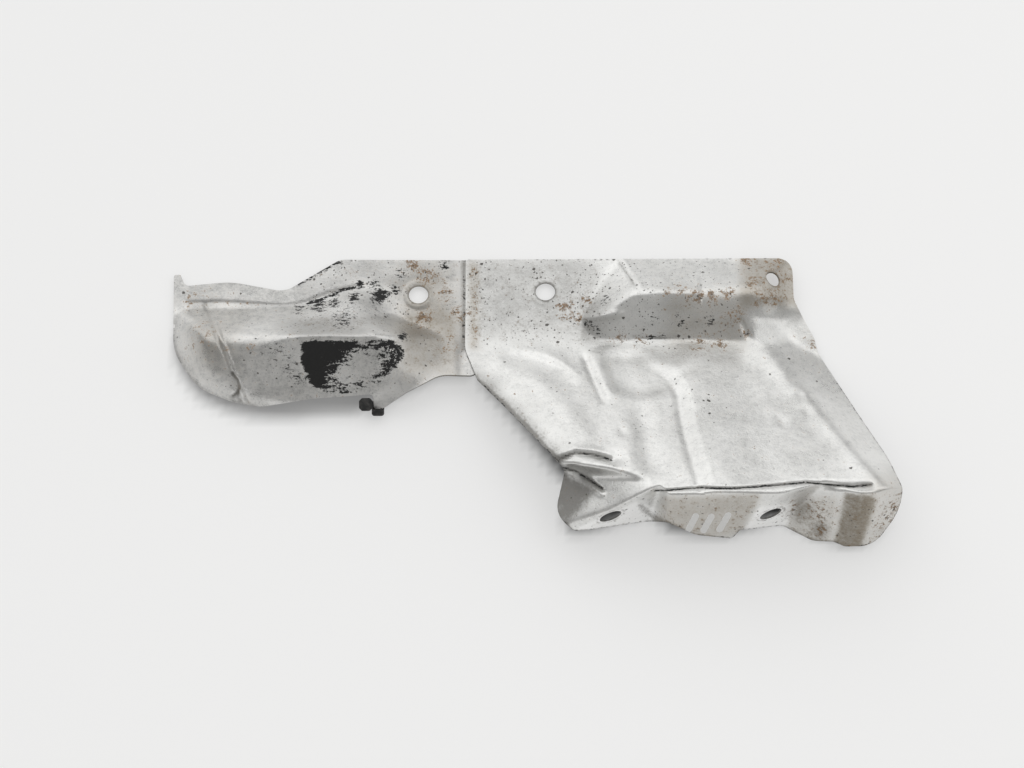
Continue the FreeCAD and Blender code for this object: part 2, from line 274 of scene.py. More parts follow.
# Lines on the left blank
PLEAT = [(-155.3, -5.6), (-150.0, -15.0), (-144.3, -26.6), (-140.0, -38.0), (-136.9, -49.0)]
HOOK_FOLD = [(-140.0, -36.9), (-137.6, -40.0), (-137.0, -43.1), (-138.2, -45.6), (-140.4, -47.2)]
LEFT_CREASE = [
    (-163.2, -4.6),
    (-147.2, -4.2),
    (-126.5, -5.6),
    (-118.2, -6.0),
    (-108.7, -4.2),
    (-98.7, 0.0),
    (-84.5, 3.7),
]
BACK_SOOT = [(-112.0, 5.0), (-106.0, 9.0), (-101.0, 11.8), (-95.0, 14.8)]
CREASE_SOOT = [(-108.1, -5.1), (-100.4, -2.3), (-93.7, 0.9), (-85.5, 3.3)]
# Painted shadow on the left sheet along the right sheet's overlapping edge: dark core and wider band
SEAM_SHADOW_CORE = [(-36.6, 6.0), (-36.5, -26.0)]
SEAM_SHADOW_BAND = [(-37.0, 15.0), (-36.6, -26.0)]

# Patches on the blanks: u, v, corner radius
DISH = [
    (25.5, -28.0, 4.0),
    (43.3, -28.2, 6.0),
    (54.0, -36.4, 6.0),
    (56.0, -45.0, 5.0),
    (42.3, -46.6, 6.0),
    (30.8, -45.0, 5.0),
]
TAB = [(49.8, -90.0, 2.0), (93.0, -88.5, 2.0), (85.5, -108.0, 2.0), (64.4, -111.0, 2.0), (48.9, -102.5, 2.0)]
# Bolt pads, lightened in colour as a painted reflection of the bright table
PADS = [
    [(9.8, -106.5, 1.0), (39.0, -92.5, 2.0), (49.0, -96.9, 2.0), (46.5, -103.5, 1.0)],
    [(86.5, -107.0, 1.0), (92.0, -94.7, 2.0), (112.0, -93.5, 2.0), (106.0, -105.0, 1.0)],
]
PAD_SOFT = 1.2
# Ear of the skirt, painted dark as the shade on its face turned from the light
EAR_PAINTED_SHADE = [(6.0, -79.5, 1.0), (4.0, -92.7, 2.0), (5.0, -101.0, 2.0), (9.5, -103.6, 1.0), (23.0, -87.4, 2.0)]
LOBE_BAND = [(128.6, -88.5, 1.0), (127.0, -113.5, 1.0), (138.5, -115.0, 3.0), (142.0, -90.0, 3.0)]
POCKET = [
    (-109.2, -22.2, 3.0),
    (-65.8, -22.2, 5.0),
    (-62.6, -29.0, 5.0),
    (-71.6, -40.0, 8.0),
    (-89.1, -46.2, 12.0),
    (-104.3, -43.8, 6.0),
    (-109.6, -31.0, 8.0),
]
SOOT_SOLID = [
    (-109.0, -23.0, 3.0),
    (-86.0, -23.0, 3.0),
    (-88.0, -30.5, 5.0),
    (-95.0, -35.0, 5.0),
    (-98.5, -41.5, 4.0),
    (-104.0, -43.0, 4.0),
    (-109.0, -33.0, 5.0),
]


def shifted(path, du, dv):
    return [(u + du, v + dv) for u, v in path]


# Steps beside a line: line, height, face, fade beyond it, share lost there, start and finish along the line
WHOLE_LINE = (2.0, 3.0)
STEPS = [
    (STEP_LINE, 2.5, (-1.0, 5.5), (7.0, 36.0), 0.8, (0.0, 0.3), WHOLE_LINE),
    (BEAD_LINE, 1.5, (-0.8, 2.8), (3.0, 15.0), 1.0, (0.0, 0.15), (0.75, 1.0)),
    (CURVE_LINE, 0.9, (-2.5, 1.0), (1.0, 9.0), 1.0, (0.0, 0.3), (0.7, 1.0)),
]

# Grooves at the foot of a step: line, depth, distance from it, half width, start and finish along the line
GROOVES = [
    (STEP_LINE, 0.6, 1.6, 1.8, (0.0, 0.2), WHOLE_LINE),
    (BEAD_LINE, 0.5, 1.2, 1.5, (0.0, 0.15), (0.85, 1.0)),
]

# Edge of the body rolled down along the arch
ROLL_WIDTH = 13.0
ROLL_CURVE = 0.02
ROLL_STARTS = (0.08, 0.35)
ROLL_ENDS = (0.96, 1.12)

# Dents and weld marks: places, then radius and height
DENTS = [(111.0, -39.1), (113.6, -46.7), (115.9, -53.7), (104.0, -58.0), (34.0, -63.0)]
DENT = (2.3, -0.7)
RIGHT_WELDS = [(-24.8, 1.9), (-21.5, -13.9)]
LEFT_WELDS = [(-42.7, 5.1)]
WELD = (2.0, -0.22)

# Relief and marks on the blanks, each list of one kind:
# boxes hold u from and to, v from and to, softness, strength
# paths hold points, half width, strength, and humps hold start, end, half width, strength
# spots hold u, v, radius, strength, and patches hold corners, softness, strength
BODY_RELIEF = {
    "paths": [(SHOULDER_LINE, 4.5, 0.8)],
    "humps": [
        ((41.0, -50.0), (46.0, -82.0), 5.0, -1.2),
        ((0.0, -75.0), (36.0, -74.0), 2.6, -2.4),
        ((0.0, -77.5), (36.0, -87.0), 2.6, 2.2),
    ],
    "patches": [(DISH, 3.0, -1.1)],
}
RIGHT_FOLDS = {
    "paths": [
        (FOLD_LINE, 0.6, -1.2),
        (UPPER_PLEAT, 0.8, -1.5),
        (shifted(UPPER_PLEAT, 0.0, 2.0), 1.3, 0.7),
        (shifted(UPPER_PLEAT, 0.0, -2.4), 1.5, 0.9),
        (LOWER_PLEAT, 0.8, -1.5),
        (shifted(LOWER_PLEAT, -0.6, -2.2), 1.2, 1.0),
        (FLANK_CREASE, 0.8, -0.9),
        (shifted(FLANK_CREASE, 2.4, 0.6), 1.6, 0.7),
        (BULGE_SCORE, 0.6, -0.5),
        (SHOULDER_CREASE, 2.2, 0.5),
        (TAB_CORNER, 1.5, -1.2),
    ],
    "humps": [
        ((118.0, -85.6), (141.5, -85.4), 1.4, -1.4),
        ((118.0, -88.4), (142.0, -88.2), 1.2, 0.9),
        ((17.0, -12.4), (37.0, -9.4), 1.5, 1.3),
        ((88.4, -11.0), (93.6, -22.5), 1.2, -1.4),
        ((34.0, -8.0), (66.0, -9.0), 3.0, -0.5),
        ((58.0, -13.5), (90.0, -11.0), 3.5, 0.7),
        ((125.8, -86.5), (124.4, -113.0), 2.0, 1.0),
    ],
    "spots": [place + DENT for place in DENTS] + [place + WELD for place in RIGHT_WELDS],
}
LEFT_FOLDS = {
    "paths": [
        (PLEAT, 0.8, -0.9),
        (shifted(PLEAT[1:], 3.2, 0.0), 0.7, -0.4),
        (shifted(PLEAT[1:], 1.6, 0.0), 0.9, 0.4),
        (HOOK_FOLD, 0.7, -1.3),
        (shifted(HOOK_FOLD, 1.5, -0.3), 0.8, 0.5),
        (LEFT_CREASE, 0.7, -0.5),
    ],
    "humps": [((-119.0, -20.8), (-80.0, -20.8), 1.1, 0.4)],
    "spots": [place + WELD for place in LEFT_WELDS],
}

# Slight waves of hand-worn sheet: length, turn, shift, height
RIPPLES = [
    (31.0, 0.4, 0.3, 0.10),
    (23.0, 1.3, 1.9, 0.08),
    (17.0, 2.2, 4.1, 0.06),
    (12.0, 0.9, 2.7, 0.035),
    (8.5, 1.8, 5.2, 0.02),
]
RIPPLE_DRIFT = 2.0
RIPPLE_DRIFT_RATE = 0.09

# Soot, with painted shade along the seam, in the fold line and pleats and along the lower cut edges
LEFT_SOOT = [
    (-111.5, -7.5, 4.0, 0.42),
    (-102.6, -6.0, 5.0, 0.50),
    (-95.8, -4.4, 5.0, 0.46),
    (-87.0, -2.5, 3.2, 0.62),
    (-84.5, 4.0, 2.6, 0.62),
    (-75.2, -1.5, 5.0, 0.62),
    (-78.0, 3.5, 5.0, 0.42),
    (-68.4, 1.0, 4.0, 0.44),
    (-66.0, 9.0, 4.0, 0.36),
    (-92.0, -12.0, 9.0, 0.36),
    (-64.0, -20.5, 3.0, 0.55),
    (-111.0, -40.0, 7.0, 0.36),
    (-115.0, -33.0, 6.0, 0.36),
    (-122.0, -27.0, 10.0, 0.30),
    (-46.0, 12.0, 5.0, 0.36),
]
LEFT_SOOT_GAIN = 1.4
# The seam line is painted shadow of the right sheet's edge; the back and crease lines are soot
LEFT_SOOT_AND_SHADE_LINES = [(SEAM_SHADOW_CORE, 0.8, 0.62), (BACK_SOOT, 2.8, 0.66), (CREASE_SOOT, 1.3, 0.8)]
POCKET_SOOT = 0.42
POCKET_SOOT_MARKS = {
    "patches": [(SOOT_SOLID, 5.0, 0.5)],
    "spots": [(-68.0, -29.0, 8.0, 0.2), (-82.0, -35.0, 9.0, -0.16)],
}
POCKET_SOOT_SOFT = 3.0
POCKET_RIM_SOFT = 8.0
POCKET_RIM = 0.85
RIGHT_SOOT = [
    (28.0, -3.0, 4.0, 0.40),
    (75.0, -13.0, 4.0, 0.40),
    (50.0, -13.0, 5.0, 0.36),
    (54.0, -19.5, 3.0, 0.46),
    (48.0, -20.5, 3.0, 0.44),
    (62.0, -14.0, 2.4, 0.50),
    (60.0, -10.5, 2.2, 0.46),
    (20.0, -14.5, 2.6, 0.50),
    (24.0, -17.0, 3.0, 0.44),
    (92.2, -19.0, 1.6, 0.50),
]
RIGHT_SOOT_GAIN = 1.3
# Black in the fold line and pleats: painted shade with some dirt
RIGHT_CREASE_SOOT_AND_SHADE = [(FOLD_LINE, 0.5, 0.8), (UPPER_PLEAT, 0.7, 0.72), (LOWER_PLEAT, 0.7, 0.68)]
# Painted shade along the lower cut edges of the right sheet: half width, where it starts, and its share of
# soot and grime
RIM_HALF = 0.6
RIM_STARTS = (36.0, 42.0)
RIM_SHADE_BLACK = 0.6
RIM_SHADE_DARK = 0.7

# Rust
LEFT_RUST = [
    (-61.3, 13.0, 4.0, 0.45),
    (-54.8, 9.0, 4.5, 0.48),
    (-50.0, 7.0, 4.0, 0.42),
    (-45.0, 0.5, 4.5, 0.44),
    (-54.5, -11.0, 4.0, 0.55),
    (-55.5, -15.0, 2.4, 0.5),
    (-42.8, -24.0, 5.0, 0.35),
    (-40.0, -8.0, 5.0, 0.35),
    (-132.0, -25.4, 2.6, 0.6),
    (-143.4, -25.7, 2.0, 0.45),
    (-154.0, -20.0, 9.0, 0.24),
    (-160.0, -3.0, 6.0, 0.26),
]
LEFT_RUST_LEAST = 0.12
LEFT_RUST_LINES = {"paths": [(LEFT_CREASE[:4], 1.2, 0.3)]}
RIGHT_RUST = [
    (-34.6, -9.8, 1.6, 0.8),
    (55.9, -0.2, 2.6, 0.6),
    (69.0, -1.8, 3.6, 0.58),
    (75.9, -2.6, 3.6, 0.58),
    (83.2, -0.6, 3.6, 0.55),
    (62.0, 0.0, 6.0, 0.36),
    (15.0, -11.6, 3.0, 0.72),
    (19.2, -3.3, 3.4, 0.42),
    (10.0, -8.0, 6.0, 0.36),
    (92.1, -18.6, 2.2, 0.62),
    (43.5, -21.8, 4.0, 0.42),
    (70.7, -22.2, 5.0, 0.40),
    (79.7, -23.4, 4.0, 0.42),
    (34.4, -20.9, 3.6, 0.42),
    (86.0, -12.0, 6.0, 0.36),
    (93.1, 14.4, 2.6, 0.66),
    (94.4, 4.0, 4.0, 0.52),
    (97.6, -3.3, 4.0, 0.55),
    (103.5, -2.6, 4.5, 0.50),
    (106.5, 13.4, 4.0, 0.45),
    (122.0, -24.0, 5.0, 0.36),
    (119.0, -98.0, 7.0, 0.30),
    (121.0, -106.0, 5.0, 0.36),
    (108.0, -95.0, 5.0, 0.30),
    (150.0, -96.0, 8.0, 0.32),
    (147.0, -106.0, 6.0, 0.36),
]
RIGHT_RUST_LEAST = 0.1
RIGHT_RUST_AREAS = {
    "boxes": [(91.0, 116.0, -5.0, 17.0, 3.0, 0.34), (106.0, 138.0, -116.0, -89.0, 3.0, 0.2)],
    "paths": [(SEAM_RUST, 2.4, 0.42)],
    "patches": [(TAB, 2.0, 0.22)],
}
RUST_MOST = 0.42

# Grime, with painted shade in creases and folds, on the ear, round the holes, along the cut edges and under
# the corner tab
LEFT_GRIME_AND_SHADE = {
    "boxes": [
        (-74.0, -45.0, -55.0, -39.0, 3.0, 0.2),
        (-66.0, -38.0, -36.0, -8.0, 6.0, 0.45),
        (-112.0, -38.0, -4.0, 17.0, 5.0, 0.25),
    ],
    # Pleat and hook fold: painted shade in the folds with some dirt; seam band: painted shadow of the right
    # sheet's edge
    "paths": [(PLEAT, 1.2, 0.4), (HOOK_FOLD, 0.7, 0.95), (LEFT_CREASE, 0.8, 0.4), (SEAM_SHADOW_BAND, 1.4, 0.6)],
    # Humps along the ridge groove: painted shade in the groove
    "humps": [((-124.0, -15.0), (-72.0, -14.0), 4.5, 0.62), ((-122.0, -19.5), (-64.0, -19.5), 2.5, 0.25)],
}
# Painted shade in the ring round the left hole
LEFT_RING_SHADE = 0.5
RIGHT_GRIME_AND_SHADE = {
    "boxes": [
        # First box: dirt that also darkens the bulge's front face as painted shade; second box: painted
        # shade under the corner tab
        (17.0, 92.0, -24.0, -3.0, 3.0, 0.18),
        (94.0, 112.0, -6.0, -1.5, 1.5, 0.35),
        (92.0, 114.0, -2.0, 16.0, 2.0, 0.3),
        (-36.0, 28.0, -24.0, 17.0, 8.0, 0.42),
        (40.0, 90.0, -34.0, -26.0, 4.0, 0.4),
        (107.0, 123.0, -116.0, -90.0, 3.0, 0.25),
    ],
    # Fold line, pleats, flank crease and bulge score: painted shade with some dirt; tab corner: painted
    # shadow at the step; thin arch path: painted shade on the rolled edge
    "paths": [
        (FOLD_LINE, 0.5, 1.0),
        (UPPER_PLEAT, 0.7, 1.0),
        (LOWER_PLEAT, 0.7, 0.9),
        (ARCH_EDGE, 5.5, 0.6),
        (ARCH_EDGE, 0.8, 0.6),
        (TAB_CORNER, 1.8, 0.6),
        (FLANK_CREASE, 0.6, 0.7),
        (BULGE_SCORE, 0.5, 0.8),
    ],
    "spots": [(112.0, -97.0, 6.0, 0.45), (121.0, -106.0, 4.5, 0.5)],
    # The ear patch is painted shade
    "patches": [(EAR_PAINTED_SHADE, 4.0, 1.0), (LOBE_BAND, 2.4, 0.74), (TAB, 2.6, 0.2)],
}
# Cut edges: painted shade on the sheet's thickness, with grime
CUT_EDGE_SHADE_AND_GRIME = 0.85

# Specks and brown stains
LEFT_SPECKS_LEAST = 0.12
LEFT_SPECKS = {
    "boxes": [(-112.0, -40.0, -20.0, 16.0, 6.0, 0.5)],
    "spots": [(-120.0, -30.0, 20.0, 0.15)],
}
RIGHT_SPECKS_LEAST = 0.03
RIGHT_SPECKS = {
    "boxes": [(-36.0, 90.0, -24.0, 16.0, 5.0, 0.65)],
    "spots": [(69.0, -49.0, 8.0, 0.5), (42.0, -60.0, 8.0, 0.5), (33.0, -79.0, 7.0, 0.5)],
}
SKIRT_SPECKS = 0.3
SKIRT_SPECKS_START = (88.0, 92.0)
LEFT_STAIN_LEAST = 0.25
LEFT_STAIN = {
    "boxes": [(-66.0, -38.0, -40.0, -8.0, 6.0, 0.3)],
    "spots": [(-54.0, 0.0, 16.0, 0.35), (-150.0, -22.0, 14.0, 0.25)],
}
RIGHT_STAIN_LEAST = 0.12
RIGHT_STAIN = {
    "boxes": [
        (89.0, 118.0, -7.0, 18.0, 4.0, 0.55),
        (107.0, 127.0, -116.0, -90.0, 4.0, 0.38),
        (138.0, 160.0, -116.0, -80.0, 6.0, 0.35),
        (55.0, 92.0, -26.0, 2.0, 6.0, 0.35),
    ],
    "paths": [(SEAM_STAIN, 3.0, 0.5)],
    "patches": [(TAB, 2.6, 0.5), (LOBE_BAND, 2.4, 0.6)],
}
FLANK_STAIN = 0.25
FLANK_STAIN_RIGHT = (95.0, 140.0)
FLANK_STAIN_BACK = (-50.0, -20.0)

# Dabs of white paint on the skirt: points, half width, strength
PAINT_DABS = [
    ([(62.6, -105.4), (65.0, -99.2)], 1.9, 1.0),
    ([(69.2, -105.8), (71.8, -99.4)], 1.9, 1.0),
    ([(76.2, -105.4), (79.0, -98.8)], 1.9, 1.0),
]

# Colours of the sheets: steel light and dark, the near white of the painted sheen on the pads, then what
# lies on it, the grime and soot colours also painting shade
RIGHT_STEEL = ((0.88, 0.88, 0.865, 1.0), (0.66, 0.66, 0.645, 1.0))
LEFT_STEEL = ((0.86, 0.86, 0.85, 1.0), (0.50, 0.50, 0.49, 1.0))
PAD_SHEEN_WHITE = (0.98, 0.98, 0.97, 1.0)
GRIME_AND_SHADE_DARK = (0.09, 0.082, 0.07, 1.0)
SPECK = (0.055, 0.048, 0.040, 1.0)
STAIN = (0.29, 0.24, 0.17, 1.0)
RUST_DARK = (0.065, 0.039, 0.020, 1.0)
RUST_LIGHT = (0.28, 0.165, 0.075, 1.0)
SOOT_AND_SHADE_BLACK = (0.008, 0.008, 0.008, 1.0)
PAINT = (0.95, 0.95, 0.94, 1.0)

# Noise in the materials: scale, detail, roughness
BROAD = (45.0, 3.0, 0.55)
MOTTLE = (330.0, 5.0, 0.7)
GRAIN = (1100.0, 3.0, 0.7)
FIBRE = (250.0, 6.0, 0.75)
DUST = (500.0, 4.0, 0.6)
FIBRE_STRETCH = (1.0, 2.6, 2.6)
CROOKED_SCALE = 900.0
CROOKED_REACH = (0.0012, 0.0012, 0.0012)
FINE_SPECKS = 800.0
COARSE_SPECKS = 420.0

# Ragged edges of each layer: share of noise, then where the layer starts and is full
GRIME_AND_SHADE_EDGE = (1.25, 0.10, 1.0)
STAIN_EDGE = (0.9, 0.05, 1.05)
RUST_EDGE = (2.2, 0.40, 0.66)
SOOT_AND_SHADE_EDGE = (2.0, 0.50, 0.64)
PAINT_EDGE = (0.5, 0.5, 0.6)
GRIME_AND_SHADE_MOST = 0.75
STAIN_MOST = 0.75
RUST_COVER = 0.85
SPECK_COVER = 0.85

# Clip of black plastic
CLIP_EASE = 0.00025
CLIP_WELD = 1e-6
CLIP_FLAT = 0.02
CLIP_SHARP = 0.5
CLIP_BLACK = (0.012, 0.012, 0.012, 1.0)
CLIP_DUST = (0.05, 0.048, 0.045, 1.0)
CLIP_ROUGH = 0.55

# Mesh steps in mm
GRID = 0.9
LEFT_GRID = 0.7
SKIRT_GRID = 0.45
RIGHT_U = (-36.0, 158.0, GRID)
RIGHT_V = (17.0, -84.0, GRID)
SKIRT_V = (-84.0, -115.0, SKIRT_GRID)
LEFT_U = (-171.0, -19.0, GRID)
LEFT_V = (16.0, -54.0, LEFT_GRID)
EDGE_STEP = 0.7
EDGE_CLEAR = 0.35
EDGE_CHUNKS = 40
PATCH_STEP = 1.0
RIM_STEP = 0.8
SHADE_STEP = 1.5
SLOPE_STEP = 0.05
HOLE_POINTS = 48
STRAIGHT = math.pi - 0.01
CORNER_SHARE = 0.48

# Table in metres: reach, fine middle and steps, then its shade under the sheets
TABLE_REACH = 3.0
TABLE_FINE = 0.3
TABLE_STEP = 0.3
TABLE_FINE_STEP = 0.004
TABLE_OPEN = (0.41, 0.41, 0.41, 1.0)
# Table colour under the sheets: painted shadow
TABLE_PAINTED_SHADOW = (0.10, 0.10, 0.10, 1.0)
TABLE_ROUGH = 0.9
TABLE_LIGHT = (1.0, 1.0, 0.995, 1.0)
TABLE_GLOW = 0.475
# Painted shadow on the table: shift forward under the left sheet, the strip left out, how far and how softly
# it reaches, its strength under the left sheet
SHADE_SHIFT = 0.006
SHADE_SHIFT_LEFT = (0.062, 0.08)
STRIP_FRONT = 0.040
STRIP_FADE = 0.012
SHADOW_OUTSET = -0.003
SHADOW_OUTSET_LEFT = (0.06, 0.075)
SHADOW_SOFTNESS = 0.009
LEFT_SHADOW_MOST = 0.6

# Room colours and lamp
FRONT_SIDE = (0.43, 0.427, 0.42, 1.0)
BACK_SIDE = (0.34, 0.34, 0.337, 1.0)
BACK_STARTS = (-0.6, 0.5)
WINDOW = (1.18, 1.18, 1.175, 1.0)
WINDOW_HEADING = (-0.35, 0.75, 0.56)
WINDOW_EDGE = (0.66, 0.96)
MATT_LIFT = 0.45
LAMP_PLACE = (1.4, 0.7, 1.3)
LAMP_SIZE = 2.6
LAMP_POWER = 13.0

# Camera along the press direction
CAMERA_DISTANCE = 1.2
CAMERA_AIM = (-14.7, -41.8, 40.0)
CAMERA_NEAR = 0.01
SENSOR = 36.0
VIEW_WIDTH = 0.4551


def smooth_min(p, q, r):
    return 0.5 * (p + q - np.sqrt((p - q) ** 2 + r * r))


def smooth_max(p, q, r):
    return 0.5 * (p + q + np.sqrt((p - q) ** 2 + r * r))


def ramp(x, lo, hi):
    t = np.clip((x - lo) / (hi - lo), 0.0, 1.0)
    return t * t * (3.0 - 2.0 * t)


def hill(x, half):
    """1 at zero, falling off on both sides."""
    return np.exp(-(x / half) ** 2)


def table(v):
    """Height of a sheet that lies flat on the table."""
    return -TABLE_SLOPE * v


def along(u, v, start, end):
    """Share of the way along a line, and the signed distance to its left."""
    du = end[0] - start[0]
    dv = end[1] - start[1]
    size = math.hypot(du, dv)
    share = ((u - start[0]) * du + (v - start[1]) * dv) / (size * size)
    side = (du * (v - start[1]) - dv * (u - start[0])) / size
    return share, side


def path_side(u, v, points):
    """Distance to a path of points, below zero on its right, and the share along it."""
    best = np.full_like(u, FAR)
    side_at = np.zeros_like(u)
    share_at = np.zeros_like(u)
    count = len(points) - 1
    for i, (start, end) in enumerate(zip(points[:-1], points[1:])):
        share, side = along(u, v, start, end)
        kept = np.clip(share, 0.0, 1.0)
        du = u - (start[0] + kept * (end[0] - start[0]))
        dv = v - (start[1] + kept * (end[1] - start[1]))
        distance = np.hypot(du, dv)
        nearer = distance < best
        best = np.where(nearer, distance, best)
        side_at = np.where(nearer, np.copysign(distance, side), side_at)
        share_at = np.where(nearer, (i + kept) / count, share_at)
    return side_at, share_at


def rounded_loop(corners, step):
    """Points along an outline of (u, v, corner radius), about one step apart."""
    points = []
    count = len(corners)
    for i in range(count):
        here = np.array(corners[i][:2])
        before = np.array(corners[i - 1][:2]) - here
        after = np.array(corners[(i + 1) % count][:2]) - here
        before_size = np.linalg.norm(before)
        after_size = np.linalg.norm(after)
        before = before / before_size
        after = after / after_size
        angle = math.acos(np.clip(before @ after, -1.0, 1.0))
        if angle > STRAIGHT:
            points.append(here)
            continue
        half_turn = math.tan(angle / 2.0)
        cut = min(corners[i][2] / half_turn, CORNER_SHARE * before_size, CORNER_SHARE * after_size)
        radius = cut * half_turn
        middle = (before + after) / np.linalg.norm(before + after)
        centre = here + middle * (radius / math.sin(angle / 2.0))
        start = here + before * cut - centre
        end = here + after * cut - centre
        turn = math.atan2(start[0] * end[1] - start[1] * end[0], start @ end)
        pieces = max(2, int(abs(turn) * radius / step))
        for k in range(pieces + 1):
            a = turn * k / pieces
            spin = np.array([[math.cos(a), -math.sin(a)], [math.sin(a), math.cos(a)]])
            points.append(centre + spin @ start)
    loop = []
    for i, point in enumerate(points):
        following = points[(i + 1) % len(points)]
        gap = np.linalg.norm(following - point)
        pieces = max(1, int(gap / step))
        for k in range(pieces):
            loop.append(point + (following - point) * k / pieces)
    return np.array(loop)


def inside(points, loop):
    """True for points inside a closed loop."""
    x, y = points[:, 0], points[:, 1]
    result = np.zeros(len(points), bool)
    for a, b in zip(loop, np.roll(loop, -1, axis=0)):
        crosses = (a[1] > y) != (b[1] > y)
        if a[1] != b[1]:
            at = a[0] + (y - a[1]) * (b[0] - a[0]) / (b[1] - a[1])
            result ^= crosses & (x < at)
    return result


def loop_distance(x, y, loop):
    """Distance to the nearest point of a loop."""
    nearest = np.full_like(x, FAR)
    for point in loop:
        nearest = np.minimum(nearest, np.hypot(x - point[0], y - point[1]))
    return nearest


def loop_depth(x, y, loop):
    """Distance in from a loop, below zero outside it."""
    nearest = loop_distance(x, y, loop)
    return np.where(inside(np.stack([x, y], axis=1), loop), nearest, -nearest)


def box_mask(u, v, u0, u1, v0, v1, soft):
    """1 inside a box on the blank, with soft edges."""
    across = ramp(u, u0 - soft, u0 + soft) - ramp(u, u1 - soft, u1 + soft)
    return across * (ramp(v, v0 - soft, v0 + soft) - ramp(v, v1 - soft, v1 + soft))


def path_bump(u, v, points, half, height):
    """Hump along a path of points, with full height all the way."""
    side = path_side(u, v, points)[0]
    return height * hill(side, half)


def line_bump(u, v, start, end, half, height):
    """Long low hump on a line, fading at both ends."""
    share, side = along(u, v, start, end)
    fade = np.clip(1.0 - (2.0 * share - 1.0) ** 4, 0.0, 1.0)
    fade = np.where((share < 0.0) | (share > 1.0), 0.0, fade)
    return height * fade * hill(side, half)


def spot(u, v, centre_u, centre_v, radius):
    """Soft round spot, 1 in the middle."""
    return hill(np.hypot(u - centre_u, v - centre_v), radius)


def patch_mask(u, v, corners, soft):
    """1 inside a patch on the blank given by its corners, with soft edges."""
    return ramp(loop_depth(u, v, rounded_loop(corners, PATCH_STEP)), -soft, soft)


def marks(u, v, boxes=(), paths=(), humps=(), spots=(), patches=()):
    """Strength over the blank of each mark in the lists."""
    made = [strength * box_mask(u, v, *box) for *box, strength in boxes]
    made += [path_bump(u, v, *path) for path in paths]
    made += [line_bump(u, v, *hump) for hump in humps]
    made += [strength * spot(u, v, *place) for *place, strength in spots]
    made += [strength * patch_mask(u, v, *patch) for *patch, strength in patches]
    return made


def strongest(*values):
    return np.maximum.reduce(values)


def from_hole(u, v, hole):
    """Distance from the middle of a hole, measured on the sloping sheet."""
    (hole_u, hole_v), radius, seat, (slope_u, slope_v) = hole
    du = u - hole_u
    dv = v - hole_v
    return np.sqrt(du ** 2 + dv ** 2 + (slope_u * du + slope_v * dv) ** 2)


def seats(u, v, holes):
    """Flat raised ring round each hole."""
    return sum(hole[2] * ramp(SEAT_R - from_hole(u, v, hole), 0.0, SEAT_EDGE) for hole in holes)


def hole_rings(u, v, holes):
    """Thin ring round each hole where the seat meets the sheet."""
    return RING_STRENGTH * sum(hill(from_hole(u, v, hole) - hole[1] - RING_GAP, RING_HALF) for hole in holes)


def hole_wall_shade(u, v, holes):
    """Painted shade on the cut edge of each hole."""
    return sum(hill(from_hole(u, v, hole) - hole[1], HOLE_EDGE_HALF) for hole in holes)


def base(v):
    """Strip on the table, then the body that rises to the front."""
    body = table(BODY_START) - BODY_SLOPE * (v - BODY_START)
    return smooth_max(table(v), body, BODY_BLEND)


def bulge(u, v):
    """Raised box on the strip, with a slanted left tip and a low right corner."""
    back = table(BACK_EDGE) + BULGE_BACK_SLOPE * (BACK_EDGE + BULGE_BACK_LAP - v)
    front = table(BULGE_FOOT) + BULGE_FRONT_SLOPE * (v - BULGE_FOOT)
    tip = BULGE_TIP + TIP_SLANT * np.maximum(0.0, v - TIP_SLANT_FROM)
    tip = tip + TIP_CURVE * np.maximum(0.0, TIP_CURVE_FROM - v) ** 2
    left = table(v) + BULGE_LEFT_SLOPE * (u - tip)
    right = table(v) + CORNER_SLOPE * (CORNER_EDGE - u) + CORNER_LIFT
    crest = smooth_min(back, front, CREST_BLEND)
    crest = smooth_min(crest, left, TIP_BLEND)
    corner = smooth_min(right, table(v) + CORNER_TOP, CORNER_BLEND)
    corner -= CORNER_DIP * ramp(-v, *CORNER_DIP_FRONT) * ramp(u, *CORNER_DIP_RIGHT)
    corner = np.where(u > CORNER_FROM, corner, table(v) + CORNER_CLEAR)
    return smooth_min(crest, corner, CORNER_BLEND)


def relief(u, v):
    """Steps, beads, dishes and wrinkles pressed into the body."""
    w = sum(marks(u, v, **BODY_RELIEF))
    for line, height, face, fade, lost, starts, ends in STEPS:
        side, share = path_side(u, v, line)
        run = ramp(share, *starts) * (1.0 - ramp(share, *ends))
        w += height * ramp(side, *face) * (1.0 - lost * ramp(side, *fade)) * run
    for line, depth, gap, half, starts, ends in GROOVES:
        side, share = path_side(u, v, line)
        w -= depth * hill(side + gap, half) * ramp(share, *starts) * (1.0 - ramp(share, *ends))
    share, side = along(u, v, *ARCH_LINE)
    run = ramp(share, *ROLL_STARTS) * (1.0 - ramp(share, *ROLL_ENDS))
    return w - ROLL_CURVE * np.maximum(0.0, ROLL_WIDTH - side) ** 2 * run


def ripples(u, v):
    """Slight waves of hand-worn sheet, from a few crossing sine waves."""
    w = np.zeros_like(u)
    for length, turn, shift, height in RIPPLES:
        across = u * math.cos(turn) + v * math.sin(turn)
        beside = u * math.sin(turn) - v * math.cos(turn)
        drift = RIPPLE_DRIFT * np.sin(beside * RIPPLE_DRIFT_RATE + shift)
        w += height * np.sin(2.0 * math.pi * across / length + shift + drift)
    return w


def slanted(u, v, corner, slopes):
    """Slanted plane that meets the table at a corner."""
    return table(corner[1]) + slopes[0] * (u - corner[0]) + slopes[1] * (v - corner[1])


